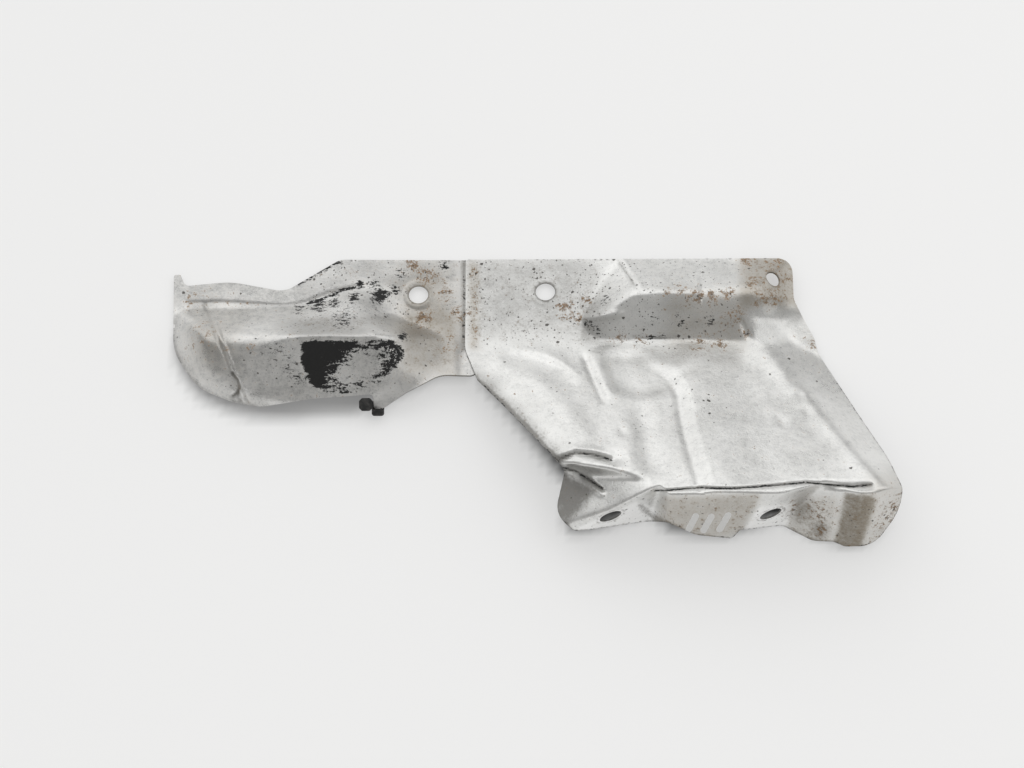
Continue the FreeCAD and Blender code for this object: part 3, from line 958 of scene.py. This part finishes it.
def right_form(u, v):
    """Height of the right sheet's upper face along the press direction."""
    w = smooth_max(base(v), bulge(u, v), BULGE_BLEND + CORNER_SOFTER * ramp(u, *CORNER_SOFTER_RIGHT))
    ridge_side = along(u, v, *RIDGE_LINE)[1]
    drop = FLANGE_DROP + FLANGE_MORE_DROP * ramp(-v, *FLANGE_MORE_FRONT)
    w = w - drop * smooth_max(ridge_side - FLANGE_GAP, 0.0, FLANGE_BLEND) * ramp(-v, *FLANGE_STARTS)
    w = smooth_max(w, table(v), FLANGE_FLOOR_BLEND)
    w = w + relief(u, v) + RIDGE_HEIGHT * hill(ridge_side, RIDGE_HALF) * ramp(-v, *RIDGE_RISES)
    ear = EAR_W + EAR_SLOPE_U * (u - EAR_CORNER[0]) + EAR_SLOPE_V * (v - EAR_CORNER[1])
    w = smooth_min(w, ear + EAR_CLEAR * ramp(v, *EAR_ENDS), EAR_BLEND)
    fold_w = base(np.array(FOLD_V))
    skirt = fold_w + TAB_SLOPE * (v - FOLD_V)
    lobe = fold_w + LOBE_SLOPE * (v - FOLD_V) - LOBE_CURVE * np.maximum(0.0, u - LOBE_CURVE_FROM) ** 2
    skirt = skirt + (lobe - skirt) * ramp(u, *LOBE_STARTS)
    w = smooth_min(w, skirt, SKIRT_BLEND)
    pad_1 = slanted(u, v, PAD_1_CORNER, PAD_SLOPES)
    pad_1 = smooth_max(pad_1, slanted(u, v, PAD_1_CORNER, PAD_1_WALL), PAD_WALL_BLEND)
    w = smooth_min(w, pad_1, PAD_BLEND)
    pad_2 = slanted(u, v, PAD_2_CORNER, PAD_SLOPES)
    pad_2 = smooth_max(pad_2, slanted(u, v, PAD_2_CORNER, PAD_2_WALL), PAD_WALL_BLEND)
    pad_2 = pad_2 + PAD_2_CLEAR * ramp(PAD_2_FROM - u, 0.0, PAD_2_RUN_OUT)
    w = smooth_min(w, pad_2, PAD_BLEND)
    w = w - FOLD_DIP * hill(v - FOLD_V - FOLD_DIP_SHIFT, FOLD_DIP_HALF) * ramp(u, *FOLD_DIP_RIGHT)
    detail = sum(marks(u, v, **RIGHT_FOLDS)) - RING_DEPTH * hole_rings(u, v, PAD_HOLES)
    return w + seats(u, v, RIGHT_HOLES) + detail + ripples(u, v)


def end_distance(u, v):
    """Distance in from the rounded left end and lower edge of the left sheet."""
    du = END_CENTRE[0] - u
    dv = END_CENTRE[1] - v
    round_corner = END_RADIUS - np.hypot(du, dv)
    straight = END_RADIUS - np.maximum(du, dv)
    return np.where((du > 0.0) & (dv > 0.0), round_corner, straight)


def left_form(u, v):
    """Height of the left sheet's upper face along the press direction."""
    turn = ramp(u, *CREASE_TURN)
    crease = CREASE_V + CREASE_SHIFT * turn
    rise = table(crease) + (RISE_SLOPE - RISE_EASE * turn) * (crease - v)
    wall = CREST_W + WALL_SLOPE * (v - CREST_V)
    ridge = smooth_min(rise, wall, RIDGE_BLEND + END_BLEND * ramp(-u, *END_STARTS))
    lift = EDGE_LIFT * ramp(u, *EDGE_LIFT_RIGHT) + TAB_LIFT * hill(u - TAB_U, TAB_LIFT_HALF)
    end_slope = END_SLOPE - END_EASE * ramp(-u, *END_EASE_LEFT)
    edge = table(v) + lift + end_slope * end_distance(u, v)
    form = smooth_max(table(v), smooth_min(ridge, edge, EDGE_BLEND), STRIP_BLEND)
    form = form - POCKET_DEPTH * patch_mask(u, v, POCKET, POCKET_SOFT)
    form = form + line_bump(u, v, *RIDGE_GROOVE)
    shift = WEB_SHIFT * ramp(v, *WEB_SHIFT_BACK)
    web = ramp(u, WEB_FROM - shift, WEB_TO - WEB_TO_SHIFT * shift)
    form = form + web * (base(v) - form)
    share, side = along(u, v, *WEB_LINE)
    web_edge = ramp(WEB_DROP_HALF - np.abs(side), 0.0, WEB_DROP_HALF)
    form = form - WEB_DROP * web_edge * ramp(share, *WEB_DROP_ALONG)
    joggle = (SHEET + LAP_GAP) / math.cos(PRESS_TILT)
    joggle_body = (SHEET + LAP_GAP) * math.hypot(1.0, BODY_SLOPE)
    joggle = joggle + (joggle_body - joggle) * ramp(-v, *JOGGLE_STEEPER)
    form = form - joggle * ramp(u, *JOGGLE_U)
    return form + seats(u, v, LEFT_HOLES) + sum(marks(u, v, **LEFT_FOLDS)) + ripples(u, v)


def left_masks(u, v):
    """Soot, rust, grime, specks and stains over the left blank, with painted shade along the seam, in the
    pleat and hook fold, in the ridge groove and round the hole.
    """
    rim = 1.0 - patch_mask(u, v, POCKET, POCKET_RIM_SOFT)
    soot = POCKET_SOOT + POCKET_RIM * rim + sum(marks(u, v, **POCKET_SOOT_MARKS))
    soot = soot * patch_mask(u, v, POCKET, POCKET_SOOT_SOFT)
    soot = strongest(soot, *marks(u, v, paths=LEFT_SOOT_AND_SHADE_LINES))
    soot = strongest(soot, LEFT_SOOT_GAIN * strongest(*marks(u, v, spots=LEFT_SOOT)))
    rust = np.minimum(strongest(*marks(u, v, spots=LEFT_RUST)), RUST_MOST) + LEFT_RUST_LEAST
    rust = strongest(rust, *marks(u, v, **LEFT_RUST_LINES))
    grime = sum(marks(u, v, **LEFT_GRIME_AND_SHADE))
    # Painted shade in the ring and on the cut edge of the left hole
    grime += LEFT_RING_SHADE * hole_rings(u, v, LEFT_HOLES) + hole_wall_shade(u, v, LEFT_HOLES)
    specks = LEFT_SPECKS_LEAST + sum(marks(u, v, **LEFT_SPECKS))
    stain = LEFT_STAIN_LEAST + sum(marks(u, v, **LEFT_STAIN))
    return {"soot": soot, "rust": rust, "grime": grime, "specks": specks, "stain": stain}


def right_masks(u, v):
    """Soot, rust, grime, specks and stains over the right blank, with painted shade along the lower cut
    edges, in the fold and pleats, on the ear, round the holes and under the corner tab.
    """
    # Rim: painted shade along the lower cut edges
    rim = hill(loop_distance(u, v, rounded_loop(RIGHT_OUTLINE, RIM_STEP)), RIM_HALF) * ramp(-v, *RIM_STARTS)
    soot = strongest(RIM_SHADE_BLACK * rim, *marks(u, v, paths=RIGHT_CREASE_SOOT_AND_SHADE))
    soot = strongest(soot, RIGHT_SOOT_GAIN * strongest(*marks(u, v, spots=RIGHT_SOOT)))
    rust = np.minimum(strongest(*marks(u, v, spots=RIGHT_RUST)), RUST_MOST) + RIGHT_RUST_LEAST
    rust = strongest(rust, *marks(u, v, **RIGHT_RUST_AREAS))
    grime = RIM_SHADE_DARK * rim + sum(marks(u, v, **RIGHT_GRIME_AND_SHADE))
    # Painted shade in the rings round the pad holes and on the cut edges of the strip holes
    grime += hole_rings(u, v, PAD_HOLES) + hole_wall_shade(u, v, STRIP_HOLES)
    specks = RIGHT_SPECKS_LEAST + sum(marks(u, v, **RIGHT_SPECKS))
    specks += SKIRT_SPECKS * ramp(-v, *SKIRT_SPECKS_START)
    stain = RIGHT_STAIN_LEAST + sum(marks(u, v, **RIGHT_STAIN))
    stain += FLANK_STAIN * ramp(u, *FLANK_STAIN_RIGHT) * ramp(v, *FLANK_STAIN_BACK)
    return {"soot": soot, "rust": rust, "grime": grime, "specks": specks, "stain": stain}


def normals_of(form, u, v):
    du = (form(u + SLOPE_STEP, v) - form(u - SLOPE_STEP, v)) / (2.0 * SLOPE_STEP)
    dv = (form(u, v + SLOPE_STEP) - form(u, v - SLOPE_STEP)) / (2.0 * SLOPE_STEP)
    normal = np.stack([-du, -dv, np.ones_like(du)], axis=1)
    return normal / np.linalg.norm(normal, axis=1)[:, None]


def hole_loop(form, centre, radius):
    """Edge of a hole punched square to the sheet, seen along the press direction."""
    normal = normals_of(form, np.array([centre[0]]), np.array([centre[1]]))[0]
    first = np.cross(normal, (0.0, 1.0, 0.0))
    first = first / np.linalg.norm(first)
    second = np.cross(normal, first)
    angles = np.linspace(0.0, 2.0 * math.pi, HOLE_POINTS, endpoint=False)
    ring = np.cos(angles)[:, None] * first + np.sin(angles)[:, None] * second
    return np.array(centre) + radius * ring[:, :2]


def grid_lines(*stops):
    """Values from each start up to its end, about one step apart, without the last end."""
    values = []
    for start, end, step in stops:
        count = max(1, int(round(abs(end - start) / step)))
        values.extend(start + (end - start) * i / count for i in range(count))
    return np.array(values)


def to_row(points):
    """Press points in mm to the row frame in metres."""
    spin = np.array(Matrix.Rotation(PRESS_TILT, 3, "X"))
    return points @ spin.T * MM + np.array(PRESS_ORIGIN)


def in_sheet(points, loops):
    """True for points inside the outline and outside the holes."""
    keep = inside(points, loops[0])
    for loop in loops[1:]:
        keep &= ~inside(points, loop)
    return keep


def linked(name, data):
    """New object in the scene."""
    made = bpy.data.objects.new(name, data)
    bpy.context.scene.collection.objects.link(made)
    return made


def sheet_mesh(name, form, outline, holes, us, vs):
    """Pressed sheet with two faces and walls; returns its blank places and where the walls start too."""
    loops = [rounded_loop(outline, EDGE_STEP)]
    loops += [hole_loop(form, centre, radius) for centre, radius, seat, slopes in holes]
    grid = np.stack(np.meshgrid(us, vs), axis=-1).reshape(-1, 2)
    grid = grid[in_sheet(grid, loops)]
    edge_points = np.concatenate(loops)
    close = np.zeros(len(grid), bool)
    for chunk in np.array_split(edge_points, EDGE_CHUNKS):
        gap = np.hypot(grid[:, None, 0] - chunk[None, :, 0], grid[:, None, 1] - chunk[None, :, 1])
        close |= gap.min(axis=1) < EDGE_CLEAR
    points = np.concatenate([edge_points, grid[~close]])
    edges = []
    start = 0
    for loop in loops:
        edges += [(start + i, start + (i + 1) % len(loop)) for i in range(len(loop))]
        start += len(loop)
    result = delaunay_2d_cdt([Vector(p) for p in points], edges, [], 0, 1e-6)
    flat = np.array([tuple(p) for p in result[0]])
    faces = np.array(result[2])
    faces = faces[in_sheet(flat[faces].mean(axis=1), loops)]
    u, v = flat[:, 0], flat[:, 1]
    outer = np.stack([u, v, form(u, v)], axis=1)
    inner = outer - normals_of(form, u, v) * SHEET
    walls = []
    wall_points = []
    count = len(flat)
    for a, b in edges:
        k = 2 * count + len(wall_points)
        wall_points += [outer[a], outer[b], inner[b], inner[a]]
        walls.append((k, k + 1, k + 2, k + 3))
    corners = flat[faces]
    turned = np.cross(corners[:, 1] - corners[:, 0], corners[:, 2] - corners[:, 0]) < 0.0
    faces[turned] = faces[turned][:, ::-1]
    vertices = to_row(np.concatenate([outer, inner, np.array(wall_points)]))
    vertices = np.clip(vertices, np.array(cad_box[0]), np.array(cad_box[1]))
    polygons = faces.tolist() + (faces[:, ::-1] + count).tolist() + walls
    mesh = bpy.data.meshes.new(name)
    mesh.from_pydata(vertices.tolist(), [], polygons)
    mesh.validate()
    for polygon in mesh.polygons:
        polygon.use_smooth = True
    blank = np.concatenate([flat, flat, np.array(wall_points)[:, :2]])
    return linked(name, mesh), blank, 2 * count


def add_mask(piece, name, values):
    """Stores a share from 0 to 1 for each vertex, for the materials."""
    layer = piece.data.attributes.new(name, "FLOAT", "POINT")
    layer.data.foreach_set("value", np.clip(values, 0.0, 1.0).astype(np.float32))


def new_material(name):
    """Material with its node tree and its main shader."""
    material = bpy.data.materials.new(name)
    material.use_nodes = True
    return material, material.node_tree, material.node_tree.nodes["Principled BSDF"]


def fill(tree, socket, value):
    """Joins a socket to another one, or sets its value."""
    if isinstance(value, bpy.types.NodeSocket):
        tree.links.new(value, socket)
    else:
        socket.default_value = value


def node(tree, kind, **inputs):
    """New shader node with its sockets set to values or joined to other sockets."""
    made = tree.nodes.new(kind)
    for name, value in inputs.items():
        fill(tree, made.inputs[name.replace("_", " ")], value)
    return made


def calc(tree, operation, *values, kind="ShaderNodeMath", output=0):
    """Result of a math node."""
    made = tree.nodes.new(kind)
    made.operation = operation
    for socket, value in zip(made.inputs, values):
        fill(tree, socket, value)
    return made.outputs[output]


def vector_calc(tree, operation, *values, output=0):
    return calc(tree, operation, *values, kind="ShaderNodeVectorMath", output=output)


def weighted(tree, *pairs):
    """Sum of values, each times its weight."""
    parts = [calc(tree, "MULTIPLY", value, weight) for value, weight in pairs]
    total = parts[0]
    for part in parts[1:]:
        total = calc(tree, "ADD", total, part)
    return total


def mask_ramp(tree, value, lo, hi):
    made = node(tree, "ShaderNodeMapRange", Value=value, From_Min=lo, From_Max=hi)
    made.interpolation_type = "SMOOTHSTEP"
    return made.outputs[0]


def mix_colour(tree, share, first, second):
    made = tree.nodes.new("ShaderNodeMix")
    made.data_type = "RGBA"
    for index, value in ((0, share), (6, first), (7, second)):
        fill(tree, made.inputs[index], value)
    return made.outputs[2]


def noise(tree, place, scale, detail, rough):
    made = node(tree, "ShaderNodeTexNoise", Vector=place, Scale=scale, Detail=detail, Roughness=rough)
    return made.outputs[0]


def mask_input(tree, name):
    made = tree.nodes.new("ShaderNodeAttribute")
    made.attribute_name = name
    return made.outputs["Fac"]


def ragged_mask(tree, name, edge_noise, share, lo, hi):
    """Stored mask with an edge broken up by noise."""
    value = calc(tree, "ADD", mask_input(tree, name), calc(tree, "MULTIPLY", edge_noise, share))
    return mask_ramp(tree, value, lo, hi)


def speck_dots(tree, place, scale, dense):
    """Round specks of varied size, with a share of the cells filled where the mask is dense."""
    cells = node(tree, "ShaderNodeTexVoronoi", Vector=place, Scale=scale)
    chance = node(tree, "ShaderNodeSeparateColor", Color=cells.outputs["Color"])
    filled = calc(tree, "GREATER_THAN", calc(tree, "MULTIPLY", dense, 1.05), chance.outputs["Red"])
    size = calc(tree, "MULTIPLY", calc(tree, "POWER", chance.outputs["Green"], 5.0), 0.22)
    dot = calc(tree, "SUBTRACT", calc(tree, "ADD", size, 0.13), cells.outputs["Distance"])
    return calc(tree, "MULTIPLY", mask_ramp(tree, dot, -0.04, 0.08), filled)


def worn_sheet(name, light, dark):
    """Worn aluminised sheet with grime, stains, rust, pits, soot and paint from the masks; the grime and
    soot masks also hold painted shade, and the pads are lightened as a painted reflection.
    """
    material, tree, shader = new_material(name)
    place = tree.nodes.new("ShaderNodeTexCoord").outputs["Object"]
    broad = noise(tree, place, *BROAD)
    mottle = noise(tree, place, *MOTTLE)
    grain = noise(tree, place, *GRAIN)
    tone = weighted(tree, (broad, 0.30), (mottle, 0.45), (grain, 0.25))
    colour = mix_colour(tree, mask_ramp(tree, tone, 0.38, 0.60), dark, light)
    # Pads lightened towards white: painted reflection of the bright table
    colour = mix_colour(tree, mask_input(tree, "painted_pad_sheen"), colour, PAD_SHEEN_WHITE)
    ragged = calc(tree, "SUBTRACT", weighted(tree, (mottle, 0.8), (grain, 0.6)), 0.7)

    # Grime mask, which also holds painted shade in creases, on the ear and along the edges
    grime = ragged_mask(tree, "grime", ragged, *GRIME_AND_SHADE_EDGE)
    colour = mix_colour(tree, calc(tree, "MULTIPLY", grime, GRIME_AND_SHADE_MOST), colour, GRIME_AND_SHADE_DARK)
    stain = ragged_mask(tree, "stain", ragged, *STAIN_EDGE)
    colour = mix_colour(tree, calc(tree, "MULTIPLY", stain, STAIN_MOST), colour, STAIN)
    rust = ragged_mask(tree, "rust", ragged, *RUST_EDGE)
    rust_colour = mix_colour(tree, mask_ramp(tree, grain, 0.35, 0.65), RUST_DARK, RUST_LIGHT)
    colour = mix_colour(tree, calc(tree, "MULTIPLY", rust, RUST_COVER), colour, rust_colour)

    crooked = node(tree, "ShaderNodeTexNoise", Vector=place, Scale=CROOKED_SCALE).outputs["Color"]
    crooked = vector_calc(tree, "MULTIPLY_ADD", crooked, CROOKED_REACH, place)
    dense = calc(tree, "MULTIPLY", mask_input(tree, "specks"), mask_ramp(tree, broad, 0.26, 0.56))
    coarse = speck_dots(tree, crooked, COARSE_SPECKS, dense)
    pits = calc(tree, "MAXIMUM", coarse, speck_dots(tree, crooked, FINE_SPECKS, dense))
    colour = mix_colour(tree, calc(tree, "MULTIPLY", pits, SPECK_COVER), colour, SPECK)

    fibre = noise(tree, vector_calc(tree, "MULTIPLY", place, FIBRE_STRETCH), *FIBRE)
    fibre = calc(tree, "ADD", fibre, calc(tree, "MULTIPLY", grain, 0.5))
    fibre = calc(tree, "SUBTRACT", fibre, 0.75)
    # Soot mask, which also holds painted shade along the seam, in the fold and pleats and along the lower
    # cut edges
    soot = ragged_mask(tree, "soot", fibre, *SOOT_AND_SHADE_EDGE)
    colour = mix_colour(tree, soot, colour, SOOT_AND_SHADE_BLACK)
    paint = ragged_mask(tree, "paint", ragged, *PAINT_EDGE)
    colour = mix_colour(tree, paint, colour, PAINT)

    cover = calc(tree, "MAXIMUM", calc(tree, "MAXIMUM", soot, paint), calc(tree, "MULTIPLY", rust, 0.8))
    cover = calc(tree, "MAXIMUM", cover, calc(tree, "MULTIPLY", grime, 0.5))
    metal = calc(tree, "MULTIPLY", calc(tree, "SUBTRACT", 1.0, cover), 0.92)
    rough = calc(tree, "ADD", weighted(tree, (tone, 0.35), (cover, 0.4)), 0.13)
    height = weighted(tree, (mottle, 0.5), (grain, 0.3), (pits, -0.4))
    bump = node(tree, "ShaderNodeBump", Strength=0.55, Distance=0.0005, Height=height)
    fill(tree, shader.inputs["Base Color"], colour)
    fill(tree, shader.inputs["Metallic"], metal)
    fill(tree, shader.inputs["Roughness"], rough)
    fill(tree, shader.inputs["Normal"], bump.outputs[0])
    return material


# Sheets
right_lines = (grid_lines(RIGHT_U), grid_lines(RIGHT_V, SKIRT_V))
right_sheet, right_blank, right_walls = sheet_mesh(
    "right_sheet", right_form, RIGHT_OUTLINE, RIGHT_HOLES, *right_lines)
left_lines = (grid_lines(LEFT_U), grid_lines(LEFT_V))
left_sheet, left_blank, left_walls = sheet_mesh(
    "left_sheet", left_form, LEFT_OUTLINE, LEFT_HOLES, *left_lines)

for piece, cad_node, slot in (
        (right_sheet, "right_shield", "right_sheet"),
        (left_sheet, "left_shield", "left_sheet")):
    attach(piece, "root")
    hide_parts(cad_node)

right_steel = worn_sheet("right_steel", *RIGHT_STEEL)
left_steel = worn_sheet("left_steel", *LEFT_STEEL)
for piece, blank, walls, masks, steel in (
        (right_sheet, right_blank, right_walls, right_masks, right_steel),
        (left_sheet, left_blank, left_walls, left_masks, left_steel)):
    u, v = blank[:, 0], blank[:, 1]
    layers = masks(u, v)
    # Walls of the cut edges: painted shade with grime
    layers["grime"][walls:] = CUT_EDGE_SHADE_AND_GRIME
    # Bolt pads: painted sheen standing for the bright table they reflect
    layers["painted_pad_sheen"] = sum(patch_mask(u, v, pad, PAD_SOFT) for pad in PADS)
    layers["paint"] = strongest(*marks(u, v, paths=PAINT_DABS))
    for name, values in layers.items():
        add_mask(piece, name, values)
    piece.data.materials.append(steel)

# Clip: moulded black plastic with eased edges
clip_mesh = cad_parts["edge_clip"].data.copy()
clip_mesh.materials.clear()
edit = bmesh.new()
edit.from_mesh(clip_mesh)
bmesh.ops.remove_doubles(edit, verts=edit.verts, dist=CLIP_WELD)
bmesh.ops.dissolve_limit(edit, angle_limit=CLIP_FLAT, verts=edit.verts, edges=edit.edges)
sharp = [edge for edge in edit.edges if edge.is_manifold and edge.calc_face_angle() > CLIP_SHARP]
bmesh.ops.bevel(
    edit, geom=sharp, offset=CLIP_EASE, segments=2, profile=0.5, affect="EDGES", clamp_overlap=True)
edit.to_mesh(clip_mesh)
edit.free()
clip = linked("clip", clip_mesh)
plastic, tree, shader = new_material("plastic")
place = tree.nodes.new("ShaderNodeTexCoord").outputs["Object"]
dusty = mask_ramp(tree, noise(tree, place, *DUST), 0.4, 0.75)
fill(tree, shader.inputs["Base Color"], mix_colour(tree, dusty, CLIP_BLACK, CLIP_DUST))
fill(tree, shader.inputs["Roughness"], CLIP_ROUGH)
clip.data.materials.append(plastic)
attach(clip, "root")
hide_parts("edge_clip")

# White table that glows a little; under the sheets its colour is darkened and its glow taken away as painted
# shadow
floor_lines = grid_lines(
    (-TABLE_REACH, -TABLE_FINE, TABLE_STEP),
    (-TABLE_FINE, TABLE_FINE, TABLE_FINE_STEP),
    (TABLE_FINE, TABLE_REACH, TABLE_STEP))
floor_lines = np.append(floor_lines, TABLE_REACH)
count = len(floor_lines)
floor_points = np.stack(np.meshgrid(floor_lines, floor_lines), axis=-1).reshape(-1, 2)
floor_faces = [(r * count + c, r * count + c + 1, (r + 1) * count + c + 1, (r + 1) * count + c)
               for r in range(count - 1) for c in range(count - 1)]
floor_mesh = bpy.data.meshes.new("table")
floor_mesh.from_pydata([(x, y, 0.0) for x, y in floor_points], [], floor_faces)
floor = linked("table", floor_mesh)
floor_x, floor_y = floor_points[:, 0], floor_points[:, 1]
# Share of painted shadow on the table: 1 under the raised sheets, reaching a little forward under the left
# sheet as a painted contact shadow, none under the strip
raised = ramp(STRIP_FRONT - floor_y, 0.0, STRIP_FADE)
cover = np.zeros(len(floor_points))
for outline, form, shadow_outset, most in (
        (RIGHT_OUTLINE, right_form, 0.0, 1.0),
        (LEFT_OUTLINE, left_form, SHADOW_OUTSET, LEFT_SHADOW_MOST)):
    loop = rounded_loop(outline, SHADE_STEP)
    shade = to_row(np.stack([loop[:, 0], loop[:, 1], form(loop[:, 0], loop[:, 1])], axis=1))[:, :2]
    shade[:, 1] -= SHADE_SHIFT * ramp(-shade[:, 0], *SHADE_SHIFT_LEFT)
    depth = loop_depth(floor_x, floor_y, shade) - shadow_outset * ramp(-floor_x, *SHADOW_OUTSET_LEFT)
    cover = np.maximum(cover, most * raised * ramp(depth, 0.0, SHADOW_SOFTNESS))
add_mask(floor, "cover", cover)
paper, tree, shader = new_material("table")
under = mask_input(tree, "cover")
# Darker colour under the sheets: painted shadow
fill(tree, shader.inputs["Base Color"], mix_colour(tree, under, TABLE_OPEN, TABLE_PAINTED_SHADOW))
fill(tree, shader.inputs["Roughness"], TABLE_ROUGH)
fill(tree, shader.inputs["Emission Color"], TABLE_LIGHT)
glow = calc(tree, "MULTIPLY", calc(tree, "SUBTRACT", 1.0, under), TABLE_GLOW)
rays = tree.nodes.new("ShaderNodeLightPath")
seen = calc(tree, "MAXIMUM", rays.outputs["Is Camera Ray"], rays.outputs["Is Glossy Ray"])
seen = calc(tree, "MAXIMUM", seen, rays.outputs["Is Transmission Ray"])
fill(tree, shader.inputs["Emission Strength"], calc(tree, "MULTIPLY", glow, seen))
floor.data.materials.append(paper)

# Room: even and grey, a little darker at the back, with a soft bright window there
world = bpy.data.worlds.new("room")
bpy.context.scene.world = world
world.use_nodes = True
tree = world.node_tree
background = tree.nodes["Background"]
heading = tree.nodes.new("ShaderNodeTexCoord").outputs["Generated"]
parts = node(tree, "ShaderNodeSeparateXYZ", Vector=heading)
back = mask_ramp(tree, parts.outputs["Y"], *BACK_STARTS)
sky = mix_colour(tree, back, FRONT_SIDE, BACK_SIDE)
to_window = Vector(WINDOW_HEADING).normalized()
facing = vector_calc(tree, "DOT_PRODUCT", heading, to_window, output="Value")
sky = mix_colour(tree, mask_ramp(tree, facing, *WINDOW_EDGE), sky, WINDOW)
fill(tree, background.inputs["Color"], sky)
rays = tree.nodes.new("ShaderNodeLightPath")
level = calc(tree, "ADD", calc(tree, "MULTIPLY", rays.outputs["Is Diffuse Ray"], MATT_LIFT), 1.0)
fill(tree, background.inputs["Strength"], level)

# Wide soft lamp from the back right, aimed at the middle of the table
lamp = bpy.data.lights.new("window", "AREA")
lamp.size = LAMP_SIZE
lamp.energy = LAMP_POWER
holder = linked("window", lamp)
holder.location = LAMP_PLACE
holder.rotation_euler = (-Vector(LAMP_PLACE)).to_track_quat("-Z", "Y").to_euler()

# Camera
lens = bpy.data.cameras.new("camera")
lens.sensor_width = SENSOR
lens.lens = SENSOR * CAMERA_DISTANCE / VIEW_WIDTH
lens.clip_start = CAMERA_NEAR
camera = linked("camera", lens)
spin = Matrix.Rotation(PRESS_TILT, 4, "X")
stand = Vector(CAMERA_AIM) * MM + Vector((0.0, 0.0, CAMERA_DISTANCE))
camera.matrix_world = Matrix.Translation(PRESS_ORIGIN) @ spin @ Matrix.Translation(stand)
bpy.context.scene.camera = camera
bpy.context.scene.view_settings.view_transform = "Standard"
